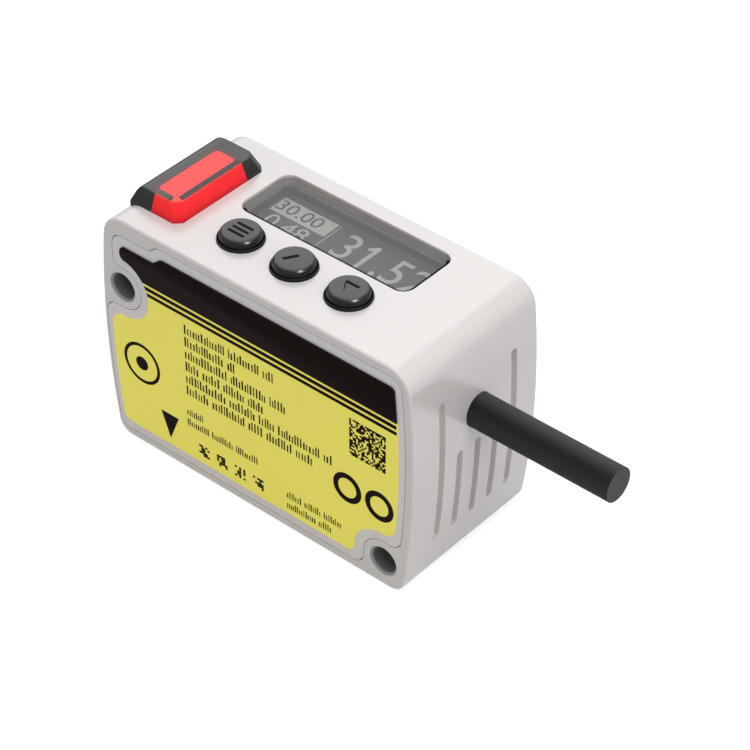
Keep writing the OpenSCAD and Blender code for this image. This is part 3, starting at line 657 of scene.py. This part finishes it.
def to_mesh(shell: Shell, name: str) -> bpy.types.Mesh:
    """Turn a bmesh into a mesh that shades smooth except across edges sharper than SHARP_DEG.

    Args:
        shell: the bmesh, which is freed.
        name: the mesh's name.

    Returns:
        The mesh.
    """
    shell.normal_update()
    for face in shell.faces:
        face.smooth = True
    for edge in shell.edges:
        edge.smooth = len(edge.link_faces) == 2 and edge.calc_face_angle(math.pi) < math.radians(SHARP_DEG)
    mesh = bpy.data.meshes.new(name)
    shell.to_mesh(mesh)
    shell.free()
    return mesh


def weigh_normals(piece: Piece) -> None:
    """Let the large flat faces keep their own normals, so that only the rounded edges shade round.

    Args:
        piece: the piece that gets the modifier.
    """
    modifier = piece.modifiers.new("flat faces stay flat", "WEIGHTED_NORMAL")
    modifier.keep_sharp = True
    modifier.weight = 100


def soften(piece: Piece, width_mm: float) -> None:
    """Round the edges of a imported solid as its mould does, with modifiers on the solid itself.

    Args:
        piece: the solid.
        width_mm: width of its rounded edges.
    """
    weld = piece.modifiers.new("joined triangles", "WELD")
    weld.merge_threshold = JOIN_MM * MM
    bevel = piece.modifiers.new("moulded edges", "BEVEL")
    bevel.width = width_mm * MM
    bevel.segments = 3
    bevel.limit_method = "ANGLE"
    bevel.angle_limit = math.radians(SOFTEN_DEG)
    bevel.use_clamp_overlap = True
    bevel.harden_normals = False
    for polygon in piece.data.polygons:
        polygon.use_smooth = True
    weigh_normals(piece)


@dataclass
class Housing:
    """The moulded box, with the round edges that its mould gives it."""

    half_depth: float = side_of("housing", Y, HIGH)
    top: float = side_of("housing", Z, HIGH)
    outer_edge: float = 0.3
    rim_edge: float = 0.12
    rims_within_y: float = 9.2
    rims_from_x: float = -13.0
    level_slack: float = 0.001
    plane_slack: float = 0.02

    def creases(self, shell: Shell) -> list[bmesh.types.BMEdge]:
        """The edges at which two faces meet at CREASE_DEG or more."""
        bend = math.radians(CREASE_DEG)
        return [e for e in shell.edges if len(e.link_faces) == 2 and e.calc_face_angle(0) >= bend]

    def outline_edges(self, shell: Shell) -> list[bmesh.types.BMEdge]:
        """Find the edges round the front and back face.

        An edge belongs to the outline if it lies in one of those faces and the plane of the other face that
        meets there has the whole box on one side: no point lies further along that face's normal.

        Args:
            shell: the merged solid.

        Returns:
            The edges.
        """
        cloud = np.array([v.co for v in shell.verts])
        found = []
        for edge in self.creases(shell):
            middle = (edge.verts[0].co + edge.verts[1].co) / 2
            if abs(abs(middle.y) - self.half_depth * MM) > self.level_slack * MM:
                continue
            side = min((f.normal for f in edge.link_faces), key=lambda n: abs(n.y))
            if middle.dot(side) > float((cloud @ np.array(side)).max()) - self.plane_slack * MM:
                found.append(edge)
        return found

    def rim_edges(self, shell: Shell) -> list[bmesh.types.BMEdge]:
        """Find the rims of the openings in the top face, but for the status light's.

        Args:
            shell: the merged solid.

        Returns:
            The edges.
        """
        found = []
        for edge in self.creases(shell):
            ends = [v.co for v in edge.verts]
            on_top = all(abs(p.z - self.top * MM) < self.level_slack * MM for p in ends)
            within = all(abs(p.y) < self.rims_within_y * MM and p.x > self.rims_from_x * MM for p in ends)
            if on_top and within:
                found.append(edge)
        return found

    def build(self) -> Piece:
        """Round the outline and the rims of a copy of the solid, which then stands for it.

        Returns:
            The shell.
        """
        shell = merged_copy("housing")
        rounds = ((self.outline_edges, self.outer_edge, 5), (self.rim_edges, self.rim_edge, 2))
        for find, width, steps in rounds:
            bmesh.ops.bevel(shell, geom=find(shell), offset=width * MM, segments=steps, profile=0.5,
                            affect="EDGES", clamp_overlap=False)
        piece = new_object("housing_shell", to_mesh(shell, "housing_shell"), Look.WHITE_SHELL)
        weigh_normals(piece)
        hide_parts("housing")
        return piece


@dataclass
class Label:
    """The print on the label: a dark band, fine lines, rows of plain bars and a few plain marks.

    A stripe has its name and its two levels. A row has its left end, its lower edge and its right end.
    """

    front: float = side_of("label", Y, LOW)
    ink: float = 0.012
    stripes: tuple[tuple[str, float, float], ...] = (
        ("label_band", 23.38, 32.38), ("label_line_1", 22.54, 23.03), ("label_line_2", 21.78, 22.23),
    )
    facing: float = 0.9
    rows: tuple[Place, ...] = ((-9.75, 19.5, 2.85), (-9.75, 17.81, -2.6), (-9.75, 16.15, 4.45),
                               (-9.75, 14.42, 1.2), (-9.75, 12.75, 11.0), (-9.75, 11.11, 8.25))
    row_height: float = 1.25
    small_rows: tuple[Place, ...] = ((-9.83, 8.18, -7.34), (-9.83, 6.73, 0.52), (4.67, 4.53, 12.64),
                                     (4.67, 3.05, 10.9))
    small_height: float = 0.95
    row_seed: int = 7
    word_length: tuple[int, int] = (5, 16)
    word_gap: float = 0.35
    bar_width: Point = (0.11, 0.19)
    bar_heights: tuple[float, ...] = (0.7, 0.74, 1.0, 1.0)
    bar_gap: Point = (0.13, 0.22)
    blocks_left: tuple[float, ...] = (-8.26, -5.6, -2.95, -0.29)
    block_level: float = 3.33
    block_size: float = 1.55
    block_cells: int = 5
    block_fill: float = 0.62
    block_bar: float = 0.9
    block_seed: int = 5
    code_corner: Point = (13.56, 15.8)
    code_size: float = 4.92
    code_cells: int = 21
    code_fill: float = 0.55
    code_border_fill: float = 0.75
    code_seed: int = 21
    rings: tuple[Point, ...] = ((13.25, 10.86), (17.65, 10.86))
    ring_radius: float = 1.95
    ring_line: float = 0.7
    target: Point = (-16.45, 11.8)
    target_radius: float = 2.7
    target_line: float = 0.42
    target_dot: float = 0.9
    arrow: tuple[Point, Point, Point] = ((-13.85, 6.68), (-12.58, 3.26), (-11.22, 6.68))

    def print_marks(self, name: str, outlines: list[np.ndarray]) -> Piece:
        """Print outlines (u, v) on the label: u runs along X, v up, and the ink towards the viewer."""
        plane = Matrix(((1, 0, 0, 0), (0, 0, -1, self.front), (0, 1, 0, 0), (0, 0, 0, 1)))
        return lay(name, outlines, plane, self.ink, Look.LABEL_INK)

    def stripe(self, name: str, low: float, high: float) -> Piece:
        """Print a stripe that keeps the label's own outline between two levels.

        The front of the label's solid is cut by planes at both levels, and what lies between is lifted by the
        thickness of the ink.

        Args:
            name: the piece's name.
            low: lower level.
            high: upper level.

        Returns:
            The printed stripe.
        """
        film = merged_copy("label")
        for level, normal in ((low, (0, 0, -1)), (high, (0, 0, 1))):
            bmesh.ops.bisect_plane(film, geom=film.verts[:] + film.edges[:] + film.faces[:],
                                   plane_co=(0, 0, level * MM), plane_no=normal, clear_outer=True)
        unwanted = [f for f in film.faces if f.normal.y > -self.facing]
        bmesh.ops.delete(film, geom=unwanted, context="FACES")
        bmesh.ops.translate(film, verts=lift_skin(film), vec=(0, -self.ink * MM, 0))
        bmesh.ops.recalc_face_normals(film, faces=film.faces)
        mesh = bpy.data.meshes.new(name)
        film.to_mesh(mesh)
        film.free()
        return new_object(name, mesh, Look.LABEL_INK)

    def word_bars(self, left: float, low: float, right: float, height: float,
                  dice: np.random.Generator) -> list[np.ndarray]:
        """A row of small upright bars of uneven height, in groups of uneven length.

        Args:
            left: where the row starts.
            low: its lower edge.
            right: where it ends.
            height: height of its tallest bars.
            dice: the source of the uneven lengths.

        Returns:
            The bars.
        """
        bars = []
        at = left
        left_in_word = int(dice.integers(*self.word_length))
        while at < right:
            width = height * float(dice.uniform(*self.bar_width))
            tall = height * float(dice.choice(self.bar_heights))
            bars.append(bar(at, low, width, tall))
            at += width + height * float(dice.uniform(*self.bar_gap))
            left_in_word -= 1
            if left_in_word == 0:
                at += self.word_gap * height
                left_in_word = int(dice.integers(*self.word_length))
        return bars

    def text(self) -> Piece:
        """Print the rows of bars, the taller ones first.

        Returns:
            The rows.
        """
        dice = np.random.default_rng(self.row_seed)
        outlines = []
        for height, rows in ((self.row_height, self.rows), (self.small_height, self.small_rows)):
            for left, low, right in rows:
                outlines += self.word_bars(left, low, right, height, dice)
        return self.print_marks("label_rows", outlines)

    def code(self) -> Piece:
        """Print a square of random cells, fuller at its border.

        Returns:
            The square.
        """
        last = self.code_cells - 1
        rows, columns = np.indices((self.code_cells, self.code_cells))
        border = (rows == 0) | (columns == 0) | (rows == last) | (columns == last)
        fill = np.where(border, self.code_border_fill, self.code_fill)
        cells = np.random.default_rng(self.code_seed).random(border.shape) < fill
        pitch = self.code_size / self.code_cells
        return self.print_marks("label_code", [
            bar(self.code_corner[0] + c * pitch, self.code_corner[1] + r * pitch, pitch, pitch)
            for r, c in np.argwhere(cells)])

    def marks(self) -> Piece:
        """Print an arrow, a plain target, two plain rings and four small blocks.

        Returns:
            The marks.
        """
        outlines = [np.array(self.arrow)]
        outlines += ring_parts(*self.target, self.target_radius, self.target_line)
        outlines.append(disc(*self.target, self.target_dot))
        for centre in self.rings:
            outlines += ring_parts(*centre, self.ring_radius, self.ring_line)
        pitch = self.block_size / self.block_cells
        dice = np.random.default_rng(self.block_seed)
        for left in self.blocks_left:
            cells = dice.random((self.block_cells, self.block_cells)) < self.block_fill
            outlines += [bar(left + c * pitch, self.block_level + r * pitch, pitch, self.block_bar * pitch)
                         for r, c in np.argwhere(cells)]
        return self.print_marks("label_marks", outlines)

    def build(self) -> list[Piece]:
        """Print the whole label."""
        return [self.stripe(*stripe) for stripe in self.stripes] + [self.text(), self.code(), self.marks()]


@dataclass
class Display:
    """The picture on the display: a light box with a small reading, a line, and two readings in light.

    The divider and the box have their lower left corner, width and height, and a reading has its digits
    before them. The flag is the slanted stroke at the head of the large 1.
    """

    level: float = side_of("display_glass", Z, HIGH)
    ink: float = 0.02
    box: Rect = (-10.4, 4.17, 7.72, 2.62)
    divider: Rect = (-2.36, 0.3, 0.1, 6.5)
    flag: tuple[Point, Point, float] = ((2.45, 5.55), (3.4, 6.42), 0.5)
    small: Reading = ("30.00", -10.2, 4.66, 6.1, 1.8)
    third: Reading = ("0.48", -9.6, 1.65, 5.6, 2.2)
    large: Reading = ("31.52", -0.55, 2.2, 11.9, 4.4)
    curve_steps: int = 6

    def light(self, name: str, outlines: list[np.ndarray]) -> Piece:
        """Lay lit outlines (u, v) on the glass, with u along X and v along Y."""
        return lay(name, outlines, Matrix.Translation((0, 0, self.level)), self.ink, Look.CELL_LIT)

    def lettering(self, name: str, reading: Reading, look: Look, level: float) -> Piece:
        """Make plain digits a mesh, stretched to fill their box and as thick as the ink.

        Args:
            name: the piece's name.
            reading: the digits, the lower left corner of their box, its width and its height.
            look: the finish.
            level: height of the plane they lie on.

        Returns:
            The digits.
        """
        digits, left, front, width, height = reading
        curve = bpy.data.curves.new(name, "FONT")
        curve.body = digits
        curve.extrude = 0.5
        curve.resolution_u = self.curve_steps
        maker = bpy.data.objects.new(name + "_curve", curve)
        bpy.context.collection.objects.link(maker)
        bpy.context.view_layer.update()
        mesh = bpy.data.meshes.new_from_object(maker.evaluated_get(bpy.context.evaluated_depsgraph_get()))
        bpy.data.objects.remove(maker)
        points = np.empty(len(mesh.vertices) * 3)
        mesh.vertices.foreach_get("co", points)
        points = points.reshape(-1, 3)
        low, high = points.min(axis=0), points.max(axis=0)
        points = (points - low) * [width, height, self.ink] / (high - low)
        points = (points + [left, front, level]) * MM
        mesh.vertices.foreach_set("co", points.ravel())
        mesh.update()
        return new_object(name, mesh, look)

    def build(self) -> list[Piece]:
        """Draw the picture on the display glass.

        Returns:
            Its pieces.
        """
        return [
            self.light("display_box", [bar(*self.box)]),
            self.light("display_divider", [bar(*self.divider), stroke(*self.flag)]),
            self.lettering("display_small", self.small, Look.CELL_DARK, self.level + self.ink),
            self.lettering("display_third", self.third, Look.CELL_LIT, self.level),
            self.lettering("display_large", self.large, Look.CELL_LIT, self.level),
        ]


@dataclass
class WindowLine:
    """A dark line laid on the pane along its near side and its cable side: painted shade of the gap at the
    pane's edge.
    """

    level: float = side_of("display_window", Z, HIGH)
    left: float = side_of("display_window", X, LOW)
    right: float = side_of("display_window", X, HIGH)
    near: float = side_of("display_window", Y, LOW)
    far: float = side_of("display_window", Y, HIGH)
    skin: float = 0.01
    corner: float = 1.45
    line: float = 0.38
    arc_points: int = 9

    def path(self, inset: float) -> np.ndarray:
        """Part of the pane's outline, moved inwards: corner centre + (corner - inset) (cos a, sin a).

        Each corner has its point, the way inwards from there, and the angles of its arc. The line starts
        halfway round the first corner and ends halfway round the last.

        Args:
            inset: how far it is moved.

        Returns:
            Its points, from the left to the far corner.
        """
        bends = (((self.left, self.near), (1, 1), (225, 270)), ((self.right, self.near), (-1, 1), (270, 360)),
                 ((self.right, self.far), (-1, -1), (0, 45)))
        parts = []
        for point, inwards, ends in bends:
            centre = np.array(point) + self.corner * np.array(inwards)
            angles = np.radians(np.linspace(*ends, self.arc_points))
            parts.append(circle(*centre, self.corner - inset, angles))
        return np.vstack(parts)

    def build(self) -> Piece:
        """Lay the line on the pane.

        Returns:
            The line.
        """
        outline = np.vstack([self.path(0.0), self.path(self.line)[::-1]])
        # Dark ink laid as painted shade along the pane's edge
        return lay("window_gap_shade", [outline], Matrix.Translation((0, 0, self.level)), self.skin,
                   Look.MARK_INK)


def button_axis(node: str, height: float) -> Matrix:
    """Move a piece from the origin to the axis of a button's solid, raised by height."""
    return Matrix.Translation((middle_of(node, X), middle_of(node, Y), height))


@dataclass
class ButtonCaps:
    """The three caps, turned with the soft shoulder that carries their highlight.

    The section and the edge of the flat top are points (r, z). An arc has its radius and the lean at which
    it starts and ends, in degrees.
    """

    section: tuple[Point, ...] = ((0.9, 26.85), (0.9, 27.5), (3.0, 27.5), (3.0, 28.1), (2.35, 28.1),
                                  (2.35, 29.8), (2.41, 30.25))
    flat: Point = (1.94, side_of(BUTTONS[0], Z, HIGH))
    arcs: tuple[Place, ...] = ((0.25, 5.0, 30.0), (1.1, 30.0, 48.0), (0.2, 48.0, 90.0))
    steps: int = 5

    def shoulder(self) -> np.ndarray:
        """The shoulder's profile: dr = -R sin(e) de and dz = R cos(e) de along arcs of radius R, lean e.

        Returns:
            Rows of (r, z), from the slope of the side to the flat top.
        """
        path = [np.zeros((1, 2))]
        for reach, *ends in self.arcs:
            lean = np.radians(np.linspace(*ends, self.steps + 1))
            arc = circle(0, 0, reach, lean)
            path.append(path[-1][-1] + arc[1:] - arc[0])
        line = np.vstack(path)
        return line + np.array(self.flat) - line[-1]

    def build(self) -> list[Piece]:
        """Turn each cap and let it stand for its solid.

        Returns:
            The three caps.
        """
        pieces = []
        section = np.vstack([self.section, self.shoulder()])
        for node in BUTTONS:
            mesh = turned_mesh(node + "_cap", section, button_axis(node, 0))
            pieces.append(new_object(node + "_cap", mesh, Look.CAP_RUBBER, node + "_body"))
            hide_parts(node)
        return pieces


@dataclass
class ButtonMarks:
    """Plain marks on the caps: three short bars, a slanted bar, and a bar with a fine stroke below it.

    Each stroke has its start, its end and its width, measured from the middle of its cap.
    """

    ink: float = 0.02
    strokes: tuple[tuple[tuple[Point, Point, float], ...], ...] = (
        (((-1.1, -0.75), (1.1, -0.75), 0.36), ((-1.1, 0.0), (1.1, 0.0), 0.36),
         ((-1.1, 0.75), (1.1, 0.75), 0.36)),
        (((-0.8, -0.85), (0.1, 0.65), 0.42),),
        (((-0.9, 0.61), (0.9, 0.61), 0.36), ((-0.75, 0.42), (-0.1, -0.67), 0.12)),
    )

    def build(self) -> list[Piece]:
        """Print each mark on its cap.

        Returns:
            The marks.
        """
        pieces = []
        for number, (node, strokes) in enumerate(zip(BUTTONS, self.strokes)):
            place = button_axis(node, side_of(node, Z, HIGH))
            pieces.append(lay(f"button_mark_{number + 1}", [stroke(*ends) for ends in strokes], place,
                              self.ink, Look.MARK_INK, node + "_body"))
        return pieces


@dataclass
class Cable:
    """The cut end of the cable."""

    radius: float = 2.0
    rim: float = 0.05
    skin: float = 0.02
    steps: int = 48

    def build(self) -> Piece:
        """Lay a thin disc with a saw-cut finish on the end.

        Returns:
            The disc.
        """
        x, y, z = side_of("cable_jacket", X, HIGH), middle_of("cable_jacket", Y), middle_of("cable_jacket", Z)
        place = Matrix(((0, 0, 1, x), (1, 0, 0, y), (0, 1, 0, z), (0, 0, 0, 1)))
        return lay("cable_cut", [disc(0, 0, self.radius - self.rim, self.steps)], place, self.skin,
                   Look.SHEATH_CUT)


@dataclass
class HoleShadeLinings:
    """Linings of the two mounting holes, which carry painted shade."""

    holes: tuple[str, ...] = ("upper_hole", "lower_hole")
    outside: tuple[Point, ...] = ((1.85, -10.18), (1.61, -9.94), (1.61, 9.94), (1.85, 10.18))
    inside: tuple[Point, ...] = ((1.828, 10.198), (1.58, 9.95), (1.58, -9.95), (1.828, -10.198))

    def build(self) -> list[Piece]:
        """Line each hole with a thin tube along Y that flares over the chamfers at its ends.

        Returns:
            The two tubes.
        """
        pieces = []
        section = np.array(self.outside + self.inside)
        middles = {mount["name"]: mount["pos_m"] for mount in frame["record"]["mounts"]}
        for number, hole in enumerate(self.holes):
            x, _, z = (round(value / MM, 2) for value in middles[hole])
            name = f"hole_shade_lining_{number + 1}"
            place = Matrix(((1, 0, 0, x), (0, 0, -1, 0), (0, 1, 0, z), (0, 0, 0, 1)))
            mesh = turned_mesh(name, section, place, loop=True)
            pieces.append(new_object(name, mesh, Look.SLEEVE))
        return pieces


@dataclass
class LightEdge:
    """The thick outer edge of the status light, covered by a darker skin."""

    inner_x: float = -18.86
    back_y: float = 5.5
    low: float = 29.2
    steepest: float = 0.95
    inwards: float = 0.5
    backwards: float = 0.2
    skin: float = 0.01

    def wanted(self, face: bmesh.types.BMFace) -> bool:
        """Whether a face leans, looks outwards, and lies beyond inner_x or back_y.

        Args:
            face: a face of the frame.

        Returns:
            True if it belongs to the edge.
        """
        middle = face.calc_center_median() / MM
        leans = 0.0 <= face.normal.z <= self.steepest and middle.z >= self.low
        outer = middle.x < self.inner_x and face.normal.x <= self.inwards
        back = middle.y > self.back_y and face.normal.y > self.backwards
        return leans and (outer or back)

    def build(self) -> Piece:
        """Lift a skin off the wanted faces of the frame.

        Returns:
            The skin.
        """
        shell = merged_copy("indicator_frame")
        shell.normal_update()
        bmesh.ops.delete(shell, geom=[f for f in shell.faces if not self.wanted(f)], context="FACES")
        shell.normal_update()
        for vertex in lift_skin(shell):
            vertex.co += vertex.normal * self.skin * MM
        bmesh.ops.recalc_face_normals(shell, faces=shell.faces)
        return new_object("indicator_edge", to_mesh(shell, "indicator_edge"), Look.SMOKED_EDGE)


@dataclass
class LightBars:
    """The two dark bars of the light's top, drawn out to the corner where they nearly meet."""

    top: float = side_of("indicator_frame", Z, HIGH)
    skin: float = 0.012
    inner: tuple[Point, ...] = ((-14.22, 4.0), (-14.97, 4.0), (-14.97, -5.0), (-14.22, -5.22))
    front: tuple[Point, ...] = ((-15.6, -6.08), (-15.1, -6.08), (-15.1, -5.85), (-15.35, -5.34),
                                (-15.6, -5.34))

    def build(self) -> Piece:
        """Lay both bars on the top."""
        return lay("indicator_bars", [np.array(self.inner), np.array(self.front)],
                   Matrix.Translation((0, 0, self.top)), self.skin, Look.SMOKED_BAR)


@dataclass(frozen=True)
class Lamp:
    """A square soft light: its place, the length of its side, its power, and whether it makes the glint."""

    name: str
    place: Place
    size: float
    power: float
    glint: bool = False


@dataclass
class Studio:
    """Floor, background, soft lights, and a camera fitted to the photograph."""

    azimuth: float = 40.469
    elevation: float = 39.568
    roll: float = -0.22
    lens: float = 141.65
    offset: Place = (6.252, 9.676, 327.898)
    aim: Place = (0.0, 0.0, 15.0)
    lamps: tuple[Lamp, ...] = (
        Lamp("key", (60.0, -30.0, 260.0), 220.0, 0.265),
        Lamp("side", (80.0, -8.0, 78.0), 45.0, 0.0115),
        Lamp("back", (-230.0, 270.0, 300.0), 380.0, 0.40),
        Lamp("spark", (84.5, -26.0, 98.0), 30.0, 0.12, glint=True),
    )
    sky: float = 0.35
    floor_width: float = 3000.0
    floor_depth: float = 2.0
    floor_gap: float = 0.002
    floor_glow: float = 0.35
    floor_glow_seen: float = 0.3

    def axes(self) -> tuple[Vector, Vector, Vector]:
        """The camera's right, up and back directions, from azimuth, elevation and roll.

        Returns:
            The three directions.
        """
        a, e, r = (math.radians(angle) for angle in (self.azimuth, self.elevation, self.roll))
        back = Vector((math.sin(a) * math.cos(e), -math.cos(a) * math.cos(e), math.sin(e)))
        level = Vector((math.cos(a), math.sin(a), 0))
        down = (-back).cross(level)
        right = math.cos(r) * level + math.sin(r) * down
        up = math.sin(r) * level - math.cos(r) * down
        return right, up, back

    def camera(self) -> None:
        """Make the camera: offset gives its place along its own right, up and back directions."""
        right, up, back = self.axes()
        place = (right * self.offset[0] + up * self.offset[1] + back * self.offset[2]) * MM
        data = bpy.data.cameras.new("camera")
        data.lens = self.lens
        data.sensor_width = 36.0
        data.clip_start = 0.01
        data.clip_end = 20.0
        camera = bpy.data.objects.new("camera", data)
        bpy.context.collection.objects.link(camera)
        camera.matrix_world = Matrix((
            (right.x, up.x, back.x, place.x), (right.y, up.y, back.y, place.y),
            (right.z, up.z, back.z, place.z), (0, 0, 0, 1)))
        bpy.context.scene.camera = camera

    def place_lamp(self, lamp: Lamp) -> None:
        """Set up a lamp that faces the aim. One that makes the glint is seen in reflections alone.

        Args:
            lamp: the lamp.
        """
        data = bpy.data.lights.new(lamp.name, "AREA")
        data.shape = "SQUARE"
        data.size = lamp.size * MM
        data.energy = lamp.power
        light = bpy.data.objects.new(lamp.name, data)
        bpy.context.collection.objects.link(light)
        light.visible_diffuse = not lamp.glint
        light.location = Vector(lamp.place) * MM
        way = Vector(self.aim) * MM - light.location
        light.rotation_euler = way.to_track_quat("-Z", "Y").to_euler()

    def world(self) -> None:
        """Make a pale grey sky that the camera, mirrors and glass see as white."""
        world = bpy.data.worlds.new("studio")
        tree = empty_tree(world)
        sky = add_node(tree, "ShaderNodeBackground", {"Color": linear("#F4F4F4"), "Strength": self.sky})
        white = add_node(tree, "ShaderNodeBackground", {"Color": linear("#FFFFFF"), "Strength": 1.0})
        path = add_node(tree, "ShaderNodeLightPath")
        seen = path.outputs["Is Camera Ray"]
        for ray in ("Is Glossy Ray", "Is Transmission Ray"):
            seen = add_node(tree, "ShaderNodeMath", {0: seen, 1: path.outputs[ray]},
                            operation="MAXIMUM").outputs[0]
        mix = add_node(tree, "ShaderNodeMixShader", {0: seen, 1: sky.outputs[0], 2: white.outputs[0]})
        add_node(tree, "ShaderNodeOutputWorld", {"Surface": mix.outputs[0]})
        bpy.context.scene.world = world

    def floor(self) -> None:
        """Make a plain floor that is almost white to the camera and still takes the object's shadow.

        Its glow is floor_glow in reflections, and floor_glow + floor_glow_seen to the camera.
        """
        half = self.floor_width / 2
        mesh = plates_mesh("floor", [bar(-half, -half, 2 * half, 2 * half)],
                           Matrix.Translation((0, 0, -self.floor_depth)), self.floor_depth - self.floor_gap)
        floor = bpy.data.objects.new("floor", mesh)
        bpy.context.collection.objects.link(floor)
        material = bpy.data.materials.new("paper_floor")
        tree = empty_tree(material)
        paper = add_node(tree, "ShaderNodeBsdfPrincipled", {"Base Color": linear("#DADADA"), "Roughness": 0.9,
                                                            "Specular IOR Level": 0.1})
        rays = add_node(tree, "ShaderNodeLightPath").outputs
        strength = add_node(tree, "ShaderNodeMath", {
            0: rays["Is Camera Ray"], 1: self.floor_glow_seen, 2: self.floor_glow,
        }, operation="MULTIPLY_ADD")
        glow = add_node(tree, "ShaderNodeEmission", {"Color": linear("#FFFFFF"),
                                                     "Strength": strength.outputs[0]})
        seen = add_node(tree, "ShaderNodeMath", {0: rays["Is Camera Ray"], 1: rays["Is Glossy Ray"]},
                        operation="MAXIMUM")
        both = add_node(tree, "ShaderNodeAddShader", {0: paper.outputs[0], 1: glow.outputs[0]})
        mix = add_node(tree, "ShaderNodeMixShader", {0: seen.outputs[0], 1: paper.outputs[0],
                                                     2: both.outputs[0]})
        add_node(tree, "ShaderNodeOutputMaterial", {"Surface": mix.outputs[0]})
        mesh.materials.append(material)

    def keep_glint(self, pieces: list[Piece]) -> None:
        """Let the lamp of the glint light these pieces only, so that the shell shows none of it.

        Args:
            pieces: what it lights.
        """
        lit = bpy.data.collections.new("glint")
        for piece in pieces:
            lit.objects.link(piece)
        for lamp in self.lamps:
            if lamp.glint:
                bpy.data.objects[lamp.name].light_linking.receiver_collection = lit

    def build(self) -> None:
        """Set up the whole studio."""
        self.camera()
        self.world()
        self.floor()
        for lamp in self.lamps:
            self.place_lamp(lamp)
        bpy.context.scene.view_settings.view_transform = "Standard"


def dress_nodes() -> None:
    """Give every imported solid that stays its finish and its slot, and the visible ones moulded edges."""
    for node, look in NODE_LOOKS.items():
        solid = frame["nodes"][node]
        solid.data.materials.clear()
        solid.data.materials.append(look.material())
    for node, width in NODE_EDGES.items():
        soften(frame["nodes"][node], width)


def main() -> None:
    """Build the sensor's looks in order."""
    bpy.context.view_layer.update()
    studio = Studio()
    studio.build()
    dress_nodes()
    Housing().build()
    Label().build()
    Display().build()
    WindowLine().build()
    studio.keep_glint(ButtonCaps().build())
    ButtonMarks().build()
    Cable().build()
    HoleShadeLinings().build()
    LightEdge().build()
    LightBars().build()
    bpy.context.view_layer.update()


if __name__ == "__main__":
    main()
